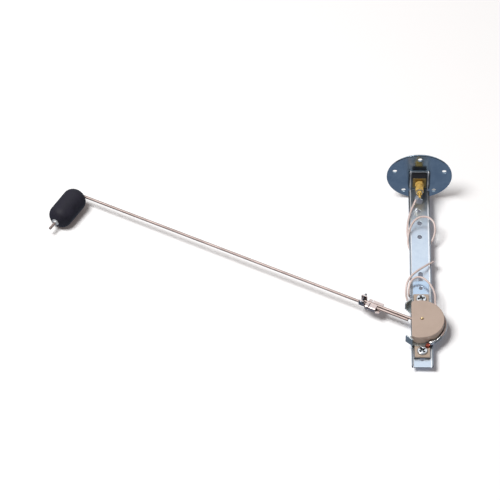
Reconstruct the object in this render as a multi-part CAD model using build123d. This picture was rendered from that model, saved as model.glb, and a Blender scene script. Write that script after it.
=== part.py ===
"""Float-arm fuel level sender with a five-hole flange, a slotted bracket and a lead wire.

The sender is modelled as it hangs in the tank: +Z points up out of the tank, the flange
lies on top, and the origin is the centre of the flange's underside. The float arm leaves
the sensor towards -X, and the sensor's cover faces -Y. Lengths are in millimetres.
"""
from build123d import *
from math import asin, atan2, cos, degrees, hypot, pi, radians, sin, sqrt, tan
import os

# Fits and clearances
STUD_FIT = 0.1
SEAT_GAP = 0.05
RUN_FIT = 0.06
SLIDE_GAP = 0.05
TURN_GAP = 0.3
ROD_GAP = 0.3
SOFT_GAP = 0.3

# How far a cutter runs past the face that it cuts
PAST = 1.0

# How near an edge lies to the height by which it is picked
EDGE_REACH = 0.01

# Flange
FLANGE_R = 34.0
FLANGE_T = 2.0
FLANGE_EDGE = 0.5
BOLT_CIRCLE_R = 27.0
BOLT_HOLE_R = 2.6
BOLT_COUNT = 5
BUSH_HOLE_R = 5.0

# Folded bracket: a foot under the flange and a slotted channel down into the tank
SHEET_T = 1.2
CHANNEL_W = 22.0
CHANNEL_BACK_Y = 20.2
CHANNEL_LENGTH = 236.0
FOOT_FRONT_Y = -9.0
UPPER_LIP = 2.5
LOWER_LIP = 4.0
LIP_STEP_BELOW_SLOT = 2.8
LIP_NOTCH = 4.0
FOLD_R = 0.5
SLOT_W = 4.8
SLOT_LENGTH = 115.8
SLOT_END_MARGIN = 8.0
WEB_HOLES = ((3.6, -17.5), (1.6, -31.0), (2.5, -47.0), (2.5, -65.4))

# Terminal stud and what is threaded on it, listed from the flange down
STUD_R = 2.4
STUD_TIP = 4.2
STUD_NECK_R = 1.5
STUD_CHAMFER = 0.5
STUD_POINT_R = 2.1
STUD_TAPER = 0.6
STUD_THREAD_PROUD = 0.4
BUSH_FLANGE_R = 8.0
BUSH_FLANGE_T = 1.6
BUSH_ROUND = 0.4
BLOCK_W = 15.0
BLOCK_T = 6.8
BLOCK_CORNER_R = 0.8
PLATE_W = 14.0
PLATE_T = 0.8
PLATE_CORNER_R = 0.6
NUT_AF = 8.0
NUT_T = 4.0
NUT_CONE_ANGLE = 30.0
COLLAR_R = 3.6
COLLAR_T = 3.2
RING_R = 3.6
RING_T = 0.8
RING_NUT_AF = 5.0
RING_NUT_T = 2.6
NECK_W = 2.8
BARREL_R = 1.8
BARREL_LENGTH = 6.0
BARREL_START = 5.4
BARREL_ANGLE = 105.0
BARREL_EXIT = 1.4
WASHER_R = 6.0
WASHER_T = 1.0
STUD_ABOVE_NUT = 4.5

# Lead wire
WIRE_R = 1.1
RADIUS_SHARE = 0.45

# Sensor unit: strap, board and stop plate stacked in front of the channel's web
STRAP_W = 16.8
STRAP_T = 1.0
STRAP_BEYOND_BOARD = 18.9
STRAP_CORNER_R = 3.0
STRAP_HOLE_R = 2.0
STRAP_HOLE_SET = 9.5
BOARD_W = 15.6
BOARD_T = 2.0
BOARD_LENGTH = 81.3
BOARD_END_MARGIN = 11.0
STOP_T = 1.0
STOP_R = 27.4
PIVOT_RISE = 40.8
SCREW_OFFSET = 33.5
SCREW_R = 2.0
SCREW_HEAD_R = 4.9
SCREW_HEAD_T = 2.6
SCREW_HEAD_ROUND = 1.56
SCREW_END = 1.2
CLAMP_WASHER_R = 4.8
CLAMP_WASHER_T = 0.8
CLAMP_NUT_AF = 7.0
CLAMP_NUT_T = 3.2

# Stop ears, folded forward from the stop plate
EAR_X = -13.3
EAR_Z = 23.6
EAR_ANGLE = 39.8
EAR_LENGTH = 8.9
EAR_HEIGHT = 9.2
EAR_ROOT = 4.2
EAR_FOOT = 10.1
EAR_TAPER = 1.3
STOP_CHORD_X = -10.4

# Sensor cover, a D-shaped moulding
COVER_R = 24.2
COVER_CENTRE_X = -1.3
COVER_CHORD_X = -10.6
COVER_DEPTH = 10.0
COVER_WALL = 1.5
COVER_EDGE_R = 0.7
COVER_CORNER_R = 1.0
WINDOW_HALF = 16.0
COVER_PEG_R = 1.2
COVER_PEG_DEPTH = 0.6
COVER_PEG_ROOM = 0.4
COVER_PEG_Z = 19.2
COVER_PEG_X = -6.6

# Pivot
SHAFT_R = 1.5
SHAFT_NOSE = 1.8
SHAFT_ROUND = 1.05
PIVOT_BUSH_R = 3.0
PIVOT_BUSH_FLANGE_R = 4.5
PIVOT_BUSH_FLANGE_T = 1.0
RETAINER_R = 2.6
RETAINER_T = 0.5
RETAINER_POCKET_R = 4.2
HUB_R = 4.5
HUB_LENGTH = 4.3
HUB_BOSS_R = 3.1
HUB_BOSS_LENGTH = 1.0

# Resistance element and wiper
CARD_ROOM = 1.5
CARD_T = 1.0
CARD_HALF_ANGLE = 60.0
CARD_FRONT_ROOM = 0.75
WINDING_T = 0.3
WINDING_HALF_ANGLE = 53.0
WINDING_MARGIN = 0.9
WIPER_T = 0.4
WIPER_W = 4.0
WIPER_TAB = 3.6
CONTACT_R = 1.0
CONTACT_REACH = 1.1
CONTACT_ROUND = 0.5
CONTACT_SET = 0.3

# Solder terminal on the board
TERMINAL_X = 5.4
TERMINAL_Z = -27.6
TERMINAL_HEAD_R = 2.2
TERMINAL_HEAD_T = 0.8
TERMINAL_POST_R = 1.0
TERMINAL_NOTCH = 0.8
TERMINAL_NECK_R = 1.8
TERMINAL_ROOM = 1.0
TERMINAL_PROUD = 0.5
LUG_T = 0.6
LUG_W = 3.4
LUG_ANGLE = 32.0
LUG_LENGTH = 7.2
CUP_R = 1.6
CUP_LENGTH = 3.6
CUP_EXIT = 5.2
CUP_LAP = 0.4

# Float arm: a stub rod in the hub and a float rod clipped along it
ARM_ANGLE = 25.6
ROD_R = 1.4
ROD_CHAMFER = 0.42
STUB_END_SET = 1.5
FLOAT_ROD_START = 14.2
BEND_AT = 392.1
BEND_TURN = 83.9
BEND_R = 4.0

# Float
FLOAT_R = 12.7
FLOAT_LENGTH = 45.0
FLOAT_END_R = 10.4
FLOAT_CENTRE = 21.5
FLOAT_BORE_FIT = 0.1
ROD_BEYOND_FLOAT = 10.6
PUSH_NUT_R = 3.8
PUSH_NUT_T = 0.5
PUSH_NUT_DOME = 1.3
PUSH_NUT_DOME_R = 2.7
PUSH_NUT_TOP_R = 1.9

# Rod clip
CLIP_T = 0.8
CLIP_START = 45.0
CLIP_WIDE_LENGTH = 16.5
CLIP_NECK_LENGTH = 7.5
CLIP_CORNER_R = 1.0
CLIP_SIDE = 4.4
CLIP_DROP = 3.4
CLIP_GAP = 0.15
CLIP_EAR_SET = 1.2
CLIP_EAR_HEIGHT = 8.0
CLIP_EAR_ROUND = 1.5
CLIP_SLIT = 0.9
CLIP_SLIT_DEPTH = 3.8
CLIP_FLAP_SETS = ((4.4, 7.4), (12.6, 3.6))
CLIP_BRIDGE_R = 1.4
CLIP_SCREW_SET = 3.0
CLIP_SCREW_R = 1.25
CLIP_HEAD_R = 2.7
CLIP_HEAD_T = 1.9
CLIP_HEAD_ROUND = 1.1
CLIP_NUT_AF = 4.0
CLIP_NUT_T = 1.6
CLIP_SCREW_END = 4.9

# Places that follow from the sizes above
WEB_FRONT_Y = CHANNEL_BACK_Y - SHEET_T
LIP_OUTER_X = CHANNEL_W / 2
SLOT_BOTTOM_Z = SLOT_END_MARGIN - CHANNEL_LENGTH
SLOT_TOP_Z = SLOT_BOTTOM_Z + SLOT_LENGTH
LIP_STEP_Z = SLOT_TOP_Z - LIP_STEP_BELOW_SLOT
BOARD_BOTTOM_Z = BOARD_END_MARGIN - CHANNEL_LENGTH
BOARD_TOP_Z = BOARD_BOTTOM_Z + BOARD_LENGTH
STRAP_TOP_Z = BOARD_TOP_Z + STRAP_BEYOND_BOARD
STRAP_HOLE_Z = STRAP_TOP_Z - STRAP_HOLE_SET
PIVOT_Z = BOARD_BOTTOM_Z + PIVOT_RISE
FOOT_BOTTOM_Z = -SHEET_T
BLOCK_BOTTOM_Z = FOOT_BOTTOM_Z - BLOCK_T
PLATE_BOTTOM_Z = BLOCK_BOTTOM_Z - PLATE_T
NUT_1_Z = PLATE_BOTTOM_Z - NUT_T
COLLAR_BOTTOM_Z = NUT_1_Z - COLLAR_T
NUT_2_Z = COLLAR_BOTTOM_Z - NUT_T
RING_BOTTOM_Z = NUT_2_Z - RING_T
RING_NUT_Z = RING_BOTTOM_Z - RING_NUT_T
STUD_BOTTOM_Z = RING_NUT_Z - STUD_TIP
BUSH_TOP_Z = FLANGE_T + BUSH_FLANGE_T
WASHER_TOP_Z = BUSH_TOP_Z + WASHER_T
NUT_3_Z = WASHER_TOP_Z
NUT_4_Z = NUT_3_Z + NUT_T
STUD_TOP_Z = NUT_4_Z + NUT_T + STUD_ABOVE_NUT
THREAD_TOP_Z = NUT_4_Z + NUT_T + STUD_THREAD_PROUD

STRAP_BACK_Y = WEB_FRONT_Y - SLIDE_GAP
BOARD_BACK_Y = STRAP_BACK_Y - STRAP_T
BOARD_FRONT_Y = BOARD_BACK_Y - BOARD_T
STOP_FRONT_Y = BOARD_FRONT_Y - STOP_T
COVER_FRONT_Y = STOP_FRONT_Y - COVER_DEPTH
EAR_FRONT_Y = STOP_FRONT_Y - EAR_HEIGHT
BUSH_FLANGE_FRONT_Y = STOP_FRONT_Y - PIVOT_BUSH_FLANGE_T
HUB_BACK_Y = BUSH_FLANGE_FRONT_Y - 2 * RUN_FIT
HUB_SHOULDER_Y = HUB_BACK_Y - HUB_LENGTH
HUB_FRONT_Y = HUB_SHOULDER_Y - HUB_BOSS_LENGTH
ARM_Y = (HUB_BACK_Y + HUB_SHOULDER_Y) / 2
ROD_PITCH = 2 * ROD_R + ROD_GAP
CARD_OUTER_R = COVER_R - COVER_WALL + COVER_CENTRE_X - CARD_ROOM - WINDING_T
CARD_R = CARD_OUTER_R - CARD_T
CARD_HEIGHT = COVER_DEPTH - COVER_WALL - SEAT_GAP - WINDING_T - CARD_FRONT_ROOM
CLIP_WIDE_END = CLIP_START + CLIP_WIDE_LENGTH
CLIP_END = CLIP_WIDE_END + CLIP_NECK_LENGTH
CLIP_EAR_START = CLIP_WIDE_END + CLIP_EAR_SET
CLIP_SCREW_AT = CLIP_END - CLIP_SCREW_SET
STUB_END = CLIP_END - STUB_END_SET
CLAMP_SCREW_ZS = (PIVOT_Z + SCREW_OFFSET, PIVOT_Z - SCREW_OFFSET)

# Hand-set route of the lead wire, from the ring terminal's barrel to the solder cup:
# twice round the channel, a turn behind it, then along the rim of the stop plate.
# The heights in the second list are from the pivot.
WIRE_ROUTE_MIDDLE = (
    (-5.0, 14.4, -23.6),
    (-7.4, 14.7, -29.6),
    (-9.6, 14.9, -36.6),
    (-11.3, 15.2, -44.0),
    (-12.5, 15.8, -51.6),
    (-12.9, 17.2, -59.4),
    (-12.4, 20.2, -66.8),
    (-8.8, 24.2, -73.6),
    (-1.6, 25.7, -77.0),
    (6.2, 25.2, -75.6),
    (11.8, 22.6, -70.8),
    (14.6, 19.0, -65.4),
    (16.2, 15.2, -59.2),
    (15.2, 12.2, -52.4),
    (11.6, 10.6, -47.6),
    (6.8, 10.0, -45.4),
    (1.4, 9.9, -45.6),
    (-3.4, 10.5, -48.0),
    (-7.4, 11.6, -52.4),
    (-10.2, 13.6, -58.6),
    (-12.3, 16.6, -66.4),
    (-12.4, 20.6, -74.6),
    (-8.2, 24.6, -82.8),
    (-1.2, 25.8, -88.6),
    (6.0, 25.2, -92.8),
    (11.2, 23.0, -95.6),
    (14.2, 19.8, -97.4),
    (13.4, 16.8, -100.2),
    (8.2, 14.2, -105.4),
    (2.8, 12.6, -110.6),
    (-2.6, 12.2, -115.2),
    (-7.6, 12.2, -119.9),
    (-11.5, 12.7, -124.9),
    (-14.2, 13.8, -130.3),
    (-15.4, 16.0, -136.2),
    (-15.5, 19.6, -142.6),
    (-12.9, 24.2, -149.8),
    (-5.2, 27.4, -155.4),
    (3.0, 28.0, -153.6),
    (5.6, 27.6, -146.2),
    (0.6, 27.2, -139.6),
    (-6.0, 26.2, -139.4),
    (-10.6, 23.6, -141.4),
    (-12.6, 19.6, -142.6),
    (-12.8, 15.9, -140.4),
    (-12.3, 13.2, -135.9),
    (-11.0, 12.1, -131.4),
    (-8.8, 11.5, -128.0),
    (-4.4, 11.1, -125.0),
    (0.6, 11.1, -125.2),
    (5.2, 11.1, -128.8),
    (9.2, 11.2, -134.0),
)
WIRE_ROUTE_BY_PIVOT = (
    (12.4, 11.5, 43.6),
    (14.4, 12.1, 35.6),
    (14.0, 13.0, 27.0),
    (15.5, 13.3, 20.0),
    (21.1, 13.5, 13.4),
    (24.2, 13.55, 5.4),
    (24.6, 13.55, -3.4),
    (21.6, 13.4, -12.6),
)


def cyl_y(radius, front, back, x=0.0, z=0.0):
    """A cylinder along Y between two depths."""
    return Pos(x, (front + back) / 2, z) * Rot(90, 0, 0) * Cylinder(radius, back - front)


def cyl_z(radius, bottom, top, x=0.0, y=0.0):
    """A cylinder along Z between two heights."""
    return Pos(x, y, (bottom + top) / 2) * Cylinder(radius, top - bottom)


def block(x_from, x_to, y_from, y_to, z_from, z_to):
    """A box between two corners."""
    centre = ((x_from + x_to) / 2, (y_from + y_to) / 2, (z_from + z_to) / 2)
    return Pos(*centre) * Box(x_to - x_from, y_to - y_from, z_to - z_from)


def face_y(sketch, front, depth, x=0.0, z=0.0):
    """Extrude a sketch drawn in X and Z backwards from a depth along Y."""
    placed = Plane(origin=(x, front + depth, z), x_dir=(1, 0, 0), z_dir=(0, -1, 0)) * sketch
    return extrude(placed, depth)


def u_profile(width, depth, thickness, fold_r):
    """A folded U in its own plane, open towards -Y, with its back on Y = 0."""
    outer = Pos(0, -depth / 2) * Rectangle(width, depth)
    outer = fillet(outer.vertices().group_by(Axis.Y)[-1], fold_r + thickness)
    inner_w = width - 2 * thickness
    inner = Pos(0, -depth / 2 - thickness) * Rectangle(inner_w, depth)
    inner = fillet(inner.vertices().group_by(Axis.Y)[-1], fold_r)
    return outer - inner


def hex_nut(across_flats, thickness, bore_r):
    """A nut standing on Z = 0, with its corners chamfered as a turned nut's are."""
    body = extrude(RegularPolygon(across_flats / sqrt(3), 6), thickness)
    corner_r = across_flats / sqrt(3)
    flat_r = across_flats / 2
    cone_rise = (corner_r - flat_r) * tan(radians(NUT_CONE_ANGLE))
    profile = Polyline(
        (0, 0), (flat_r, 0), (corner_r, cone_rise),
        (corner_r, thickness - cone_rise), (flat_r, thickness), (0, thickness), close=True,
    )
    turned = revolve(Plane.XZ * make_face(profile), Axis.Z)
    return (body & turned) - cyl_z(bore_r, -PAST, thickness + PAST)


def to_arm(shape):
    """Turn a shape drawn with the arm along -X to the arm's angle at rest."""
    return Pos(0, 0, PIVOT_Z) * Rot(0, ARM_ANGLE, 0) * shape


def flange_disc():
    """The round tank flange with five bolt holes and the hole for the insulating bush."""
    disc = cyl_z(FLANGE_R, 0, FLANGE_T)
    disc = chamfer(disc.edges().filter_by(GeomType.CIRCLE), FLANGE_EDGE)
    disc -= cyl_z(BUSH_HOLE_R, -PAST, FLANGE_T + PAST)
    for index in range(BOLT_COUNT):
        angle = radians(-90 + 360 / BOLT_COUNT * index)
        x = BOLT_CIRCLE_R * cos(angle)
        y = BOLT_CIRCLE_R * sin(angle)
        disc -= cyl_z(BOLT_HOLE_R, -PAST, FLANGE_T + PAST, x, y)
    return disc


def bracket_channel():
    """One folded sheet: the foot under the flange and the slotted channel below it."""
    leg_profile = u_profile(CHANNEL_W, LOWER_LIP, SHEET_T, FOLD_R)
    leg = extrude(Pos(0, CHANNEL_BACK_Y, -CHANNEL_LENGTH) * leg_profile, CHANNEL_LENGTH)
    lip_trim = CHANNEL_BACK_Y - UPPER_LIP
    lip_reach = CHANNEL_W
    leg -= block(-lip_reach, lip_reach, lip_trim - LOWER_LIP, lip_trim, LIP_STEP_Z, PAST)

    foot_plane = Plane(origin=(0, CHANNEL_BACK_Y, 0), x_dir=(1, 0, 0), z_dir=(0, -1, 0))
    foot_profile = u_profile(CHANNEL_W, UPPER_LIP, SHEET_T, FOLD_R)
    foot = extrude(foot_plane * foot_profile, CHANNEL_BACK_Y - FOOT_FRONT_Y)
    bracket = leg + foot

    inner_half = LIP_OUTER_X - SHEET_T - FOLD_R
    for side in (-1, 1):
        near, far = sorted((side * inner_half, side * lip_reach))
        corner = block(
            near, far, CHANNEL_BACK_Y - LIP_NOTCH, CHANNEL_BACK_Y + PAST, -LIP_NOTCH, PAST,
        )
        bracket -= corner
    outer_fold = bracket.edges().filter_by(Axis.X).filter_by_position(Axis.Z, -EDGE_REACH, EDGE_REACH)
    bracket = fillet(outer_fold.sort_by(Axis.Y)[-1], FOLD_R + SHEET_T)
    inner_fold = bracket.edges().filter_by(Axis.X).filter_by_position(
        Axis.Z, FOOT_BOTTOM_Z - EDGE_REACH, FOOT_BOTTOM_Z + EDGE_REACH,
    )
    bracket = fillet(inner_fold.sort_by(Axis.Y)[-1], FOLD_R)

    bracket -= cyl_z(BUSH_HOLE_R, FOOT_BOTTOM_Z - PAST, PAST)
    through_from = WEB_FRONT_Y - PAST
    through_depth = SHEET_T + 2 * PAST
    slot = SlotOverall(SLOT_LENGTH, SLOT_W, 90)
    bracket -= face_y(slot, through_from, through_depth, 0, (SLOT_TOP_Z + SLOT_BOTTOM_Z) / 2)
    for hole_r, hole_z in WEB_HOLES:
        bracket -= cyl_y(hole_r, through_from, through_from + through_depth, 0, hole_z)
    return bracket


def insulating_bush():
    """The shouldered bush that keeps the stud clear of the flange and the foot."""
    shoulder = cyl_z(BUSH_FLANGE_R, FLANGE_T, BUSH_TOP_Z)
    shoulder = fillet(shoulder.edges().group_by(Axis.Z)[-1], BUSH_ROUND)
    sleeve = cyl_z(BUSH_HOLE_R - STUD_FIT, FOOT_BOTTOM_Z + SEAT_GAP, FLANGE_T)
    return shoulder + sleeve - cyl_z(STUD_R + STUD_FIT, FOOT_BOTTOM_Z - PAST, BUSH_TOP_Z + PAST)


def insulator_block():
    """The square black insulator under the foot."""
    outline = RectangleRounded(BLOCK_W, BLOCK_W, BLOCK_CORNER_R)
    body = extrude(Pos(0, 0, BLOCK_BOTTOM_Z) * outline, BLOCK_T)
    return body - cyl_z(STUD_R + STUD_FIT, BLOCK_BOTTOM_Z - PAST, PAST)


def contact_plate():
    """The square brass plate between the insulator and the first nut."""
    outline = RectangleRounded(PLATE_W, PLATE_W, PLATE_CORNER_R)
    plate = extrude(Pos(0, 0, PLATE_BOTTOM_Z) * outline, PLATE_T)
    return plate - cyl_z(STUD_R + STUD_FIT, PLATE_BOTTOM_Z - PAST, PAST)


def terminal_stud():
    """The brass stud through the flange: a thin lower end and a plain upper point."""
    point_start = THREAD_TOP_Z + STUD_TAPER
    shoulder = NUT_2_Z + SEAT_GAP
    outline = Polyline(
        (0, STUD_BOTTOM_Z), (STUD_NECK_R - STUD_CHAMFER, STUD_BOTTOM_Z),
        (STUD_NECK_R, STUD_BOTTOM_Z + STUD_CHAMFER), (STUD_NECK_R, shoulder),
        (STUD_R, shoulder), (STUD_R, THREAD_TOP_Z),
        (STUD_POINT_R, point_start), (STUD_POINT_R, STUD_TOP_Z - STUD_CHAMFER),
        (STUD_POINT_R - STUD_CHAMFER, STUD_TOP_Z), (0, STUD_TOP_Z), close=True,
    )
    return revolve(Plane.XZ * make_face(outline), Axis.Z)


def stud_nuts():
    """Four like nuts on the stud: two in the tank and two above the flange."""
    nut = hex_nut(NUT_AF, NUT_T, STUD_R + SEAT_GAP)
    turned = ((NUT_1_Z, 8), (NUT_2_Z, 22), (NUT_3_Z, 15), (NUT_4_Z, 33))
    return [Pos(0, 0, bottom) * Rot(0, 0, turn) * nut for bottom, turn in turned]


def ring_nut():
    """The small nut that holds the ring terminal on the stud's thin lower end."""
    return Pos(0, 0, RING_NUT_Z) * hex_nut(RING_NUT_AF, RING_NUT_T, STUD_NECK_R + SEAT_GAP)


def stud_collar():
    """The plain brass spacer between the first two nuts."""
    collar = cyl_z(COLLAR_R, COLLAR_BOTTOM_Z, NUT_1_Z)
    return collar - cyl_z(STUD_R + SEAT_GAP, COLLAR_BOTTOM_Z - PAST, NUT_1_Z + PAST)


def stud_washer():
    """The steel washer above the insulating bush."""
    washer = cyl_z(WASHER_R, BUSH_TOP_Z, WASHER_TOP_Z)
    return washer - cyl_z(STUD_R + STUD_FIT, BUSH_TOP_Z - PAST, WASHER_TOP_Z + PAST)


def barrel_place(distance):
    """A point on the ring terminal's barrel axis, by its distance from the stud's axis."""
    angle = radians(BARREL_ANGLE)
    return Vector(distance * cos(angle), distance * sin(angle), NUT_2_Z - RING_T / 2)


def ring_terminal():
    """The ring terminal on the stud, with the crimped barrel that takes the lead wire."""
    ring = cyl_z(RING_R, RING_BOTTOM_Z, NUT_2_Z)
    barrel_end = BARREL_START + BARREL_LENGTH
    barrel_middle = BARREL_START + BARREL_LENGTH / 2
    neck = block(0, BARREL_START + PAST, -NECK_W / 2, NECK_W / 2, -RING_T / 2, RING_T / 2)
    along = Rot(0, 90, 0)
    barrel = neck + along * cyl_z(BARREL_R, BARREL_START, barrel_end)
    barrel -= along * cyl_z(WIRE_R + SEAT_GAP, barrel_middle, barrel_end + PAST)
    terminal = ring + Pos(0, 0, NUT_2_Z - RING_T / 2) * Rot(0, 0, BARREL_ANGLE) * barrel
    return terminal - cyl_z(STUD_NECK_R + STUD_FIT, RING_BOTTOM_Z - PAST, NUT_2_Z + PAST)


def lug_place(distance, y):
    """A point along the solder lug, by its distance from the rivet's axis."""
    angle = radians(LUG_ANGLE)
    x = TERMINAL_X + distance * cos(angle)
    z = PIVOT_Z + TERMINAL_Z + distance * sin(angle)
    return Vector(x, y, z)


CUP_Y = STOP_FRONT_Y - SOFT_GAP - CUP_R


def wire_route():
    """All points of the lead wire's route."""
    start = barrel_place(BARREL_START + BARREL_LENGTH / 2)
    exit_point = barrel_place(BARREL_START + BARREL_LENGTH + BARREL_EXIT)
    end = lug_place(LUG_LENGTH - CUP_LENGTH / 2, CUP_Y)
    entry = lug_place(LUG_LENGTH + CUP_EXIT, CUP_Y)
    middle = [Vector(*point) for point in WIRE_ROUTE_MIDDLE]
    beside = [Vector(x, y, PIVOT_Z + rise) for x, y, rise in WIRE_ROUTE_BY_PIVOT]
    return [start, exit_point] + middle + beside + [entry, end]


def corner_radii(points):
    """The largest tangent arc that the two runs beside each corner allow."""
    radii = []
    for before, here, after in zip(points, points[1:], points[2:]):
        arriving = here - before
        leaving = after - here
        turn = arriving.get_angle(leaving)
        shorter = min(arriving.length, leaving.length)
        radii.append(RADIUS_SHARE * shorter / tan(radians(turn / 2)))
    return radii


def lead_wire():
    """The insulated lead, as straight runs joined by tangent arcs."""
    points = wire_route()
    radii = corner_radii(points)
    path = FilletPolyline(*points, radius=radii)
    start_plane = Plane(origin=path @ 0, z_dir=path % 0)
    wire = sweep(start_plane * Circle(WIRE_R), path=path)
    section = pi * WIRE_R ** 2
    share = wire.volume / (section * path.length)
    print("wire length", round(path.length, 1), "least radius", round(min(radii), 1))
    print("wire radii", [round(radius, 1) for radius in radii])
    print("wire volume over section times length", round(share, 4))
    return wire


def clamp_strap():
    """The zinc strap that slides between the channel's lips and carries the sensor."""
    height = STRAP_TOP_Z - BOARD_BOTTOM_Z
    outline = Rectangle(STRAP_W, height)
    outline = fillet(outline.vertices().group_by(Axis.Y)[-1], STRAP_CORNER_R)
    strap = face_y(outline, BOARD_BACK_Y, STRAP_T, 0, (STRAP_TOP_Z + BOARD_BOTTOM_Z) / 2)
    before = BOARD_BACK_Y - PAST
    behind = STRAP_BACK_Y + PAST
    strap -= cyl_y(STRAP_HOLE_R, before, behind, 0, STRAP_HOLE_Z)
    strap -= cyl_y(RETAINER_POCKET_R, before, behind, 0, PIVOT_Z)
    post_room = TERMINAL_POST_R + TERMINAL_ROOM
    strap -= cyl_y(post_room, before, behind, TERMINAL_X, PIVOT_Z + TERMINAL_Z)
    for screw_z in CLAMP_SCREW_ZS:
        strap -= cyl_y(SCREW_R + STUD_FIT, before, behind, 0, screw_z)
    return strap


def base_board():
    """The moulded board that carries the sensor in front of the strap."""
    outline = Rectangle(BOARD_W, BOARD_LENGTH)
    board = face_y(outline, BOARD_FRONT_Y, BOARD_T, 0, (BOARD_TOP_Z + BOARD_BOTTOM_Z) / 2)
    before = BOARD_FRONT_Y - PAST
    behind = BOARD_BACK_Y + PAST
    board -= cyl_y(PIVOT_BUSH_R + SEAT_GAP, before, behind, 0, PIVOT_Z)
    post_room = TERMINAL_POST_R + SEAT_GAP
    board -= cyl_y(post_room, before, behind, TERMINAL_X, PIVOT_Z + TERMINAL_Z)
    for screw_z in CLAMP_SCREW_ZS:
        board -= cyl_y(SCREW_R + STUD_FIT, before, behind, 0, screw_z)
    socket_end = BOARD_FRONT_Y + COVER_PEG_DEPTH + COVER_PEG_ROOM
    for peg_x, peg_z in peg_places():
        board -= cyl_y(COVER_PEG_R + STUD_FIT, before, socket_end, peg_x, peg_z)
    return board


def peg_places():
    """Where the cover's two pegs go through the stop plate."""
    return [(COVER_PEG_X, PIVOT_Z + side * COVER_PEG_Z) for side in (1, -1)]


def stop_ear(side):
    """One ear, folded forward from the stop plate, above (+1) or below (-1) the arm."""
    ear = Box(EAR_LENGTH, STOP_T + EAR_HEIGHT, STOP_T)
    depth = (EAR_FRONT_Y + BOARD_FRONT_Y) / 2
    return Pos(EAR_X, depth, PIVOT_Z + side * EAR_Z) * Rot(0, -side * EAR_ANGLE, 0) * ear


def stop_plate():
    """The zinc D-shaped plate behind the cover, whose two ears stop the arm."""
    rim = Pos(COVER_CENTRE_X, 0) * Circle(STOP_R)
    cut_left = Pos(STOP_CHORD_X - STOP_R, 0) * Rectangle(2 * STOP_R, 4 * STOP_R)
    outline = rim - cut_left
    tangent = radians(EAR_ANGLE)
    along = (cos(tangent), sin(tangent))
    inward = (sin(tangent), -cos(tangent))
    half = EAR_LENGTH / 2
    for side in (1, -1):
        corners = [
            (EAR_X - half * along[0], EAR_Z - half * along[1]),
            (EAR_X + half * along[0], EAR_Z + half * along[1]),
            (STOP_CHORD_X + EAR_ROOT, EAR_Z - EAR_ROOT),
            (STOP_CHORD_X, EAR_Z - EAR_FOOT),
            (EAR_X - half * along[0] + EAR_TAPER * inward[0],
             EAR_Z - half * along[1] + EAR_TAPER * inward[1]),
        ]
        outline += make_face(Polyline(*[(x, side * z) for x, z in corners], close=True))
    plate = face_y(outline, STOP_FRONT_Y, STOP_T, 0, PIVOT_Z)
    for side in (1, -1):
        plate += stop_ear(side)
    before = STOP_FRONT_Y - PAST
    behind = BOARD_FRONT_Y + PAST
    plate -= cyl_y(PIVOT_BUSH_R + SEAT_GAP, before, behind, 0, PIVOT_Z)
    notch_r = TERMINAL_HEAD_R + TERMINAL_NOTCH
    plate -= cyl_y(notch_r, before, behind, TERMINAL_X, PIVOT_Z + TERMINAL_Z)
    for peg_x, peg_z in peg_places():
        plate -= cyl_y(COVER_PEG_R + STUD_FIT, before, behind, peg_x, peg_z)
    return plate


def cover_outline(radius, chord_x, corner_r):
    """The D outline of the cover about the pivot, with its two corners rounded."""
    disc = Pos(COVER_CENTRE_X, 0) * Circle(radius)
    outline = disc - Pos(chord_x - radius, 0) * Rectangle(2 * radius, 4 * radius)
    return fillet(outline.vertices(), corner_r)


def sensor_cover():
    """The moulded cover: a hollow D with an open window in its flat side for the arm."""
    outer = cover_outline(COVER_R, COVER_CHORD_X, COVER_CORNER_R + COVER_WALL)
    body = face_y(outer, COVER_FRONT_Y, COVER_DEPTH, 0, PIVOT_Z)
    body = fillet(body.edges().group_by(Axis.Y)[0], COVER_EDGE_R)
    inner = cover_outline(COVER_R - COVER_WALL, COVER_CHORD_X + COVER_WALL, COVER_CORNER_R)
    body -= face_y(inner, COVER_FRONT_Y + COVER_WALL, COVER_DEPTH, 0, PIVOT_Z)
    window_front = ARM_Y - ROD_R - 2 * TURN_GAP
    body -= block(
        COVER_CHORD_X - PAST, COVER_CHORD_X + COVER_WALL + PAST,
        window_front, STOP_FRONT_Y + PAST,
        PIVOT_Z - WINDOW_HALF, PIVOT_Z + WINDOW_HALF,
    )
    face_back = COVER_FRONT_Y + COVER_WALL
    body -= cyl_y(SHAFT_R + RUN_FIT, COVER_FRONT_Y - PAST, face_back + PAST, 0, PIVOT_Z)
    for peg_x, peg_z in peg_places():
        body += cyl_y(COVER_PEG_R, face_back, BOARD_FRONT_Y + COVER_PEG_DEPTH, peg_x, peg_z)
    return body


def clamp_screws():
    """The two pan-head screws that clamp the unit through the channel's slot."""
    tip_y = CHANNEL_BACK_Y + SLIDE_GAP + CLAMP_WASHER_T + CLAMP_NUT_T + SCREW_END
    head = cyl_y(SCREW_HEAD_R, BOARD_FRONT_Y - SCREW_HEAD_T, BOARD_FRONT_Y)
    head = fillet(head.edges().group_by(Axis.Y)[0], SCREW_HEAD_ROUND)
    screw = head + cyl_y(SCREW_R, BOARD_FRONT_Y, tip_y)
    return [Pos(0, 0, screw_z) * screw for screw_z in CLAMP_SCREW_ZS]


def clamp_washers():
    """The two washers behind the channel."""
    front = CHANNEL_BACK_Y + SLIDE_GAP
    washer = cyl_y(CLAMP_WASHER_R, front, front + CLAMP_WASHER_T)
    washer -= cyl_y(SCREW_R + STUD_FIT, front - PAST, front + CLAMP_WASHER_T + PAST)
    return [Pos(0, 0, screw_z) * washer for screw_z in CLAMP_SCREW_ZS]


def clamp_nuts():
    """The two nuts behind the washers."""
    front = CHANNEL_BACK_Y + SLIDE_GAP + CLAMP_WASHER_T
    nut = hex_nut(CLAMP_NUT_AF, CLAMP_NUT_T, SCREW_R + SEAT_GAP)
    return [Pos(0, front, z) * Rot(-90, 0, 0) * nut for z in CLAMP_SCREW_ZS]


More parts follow.
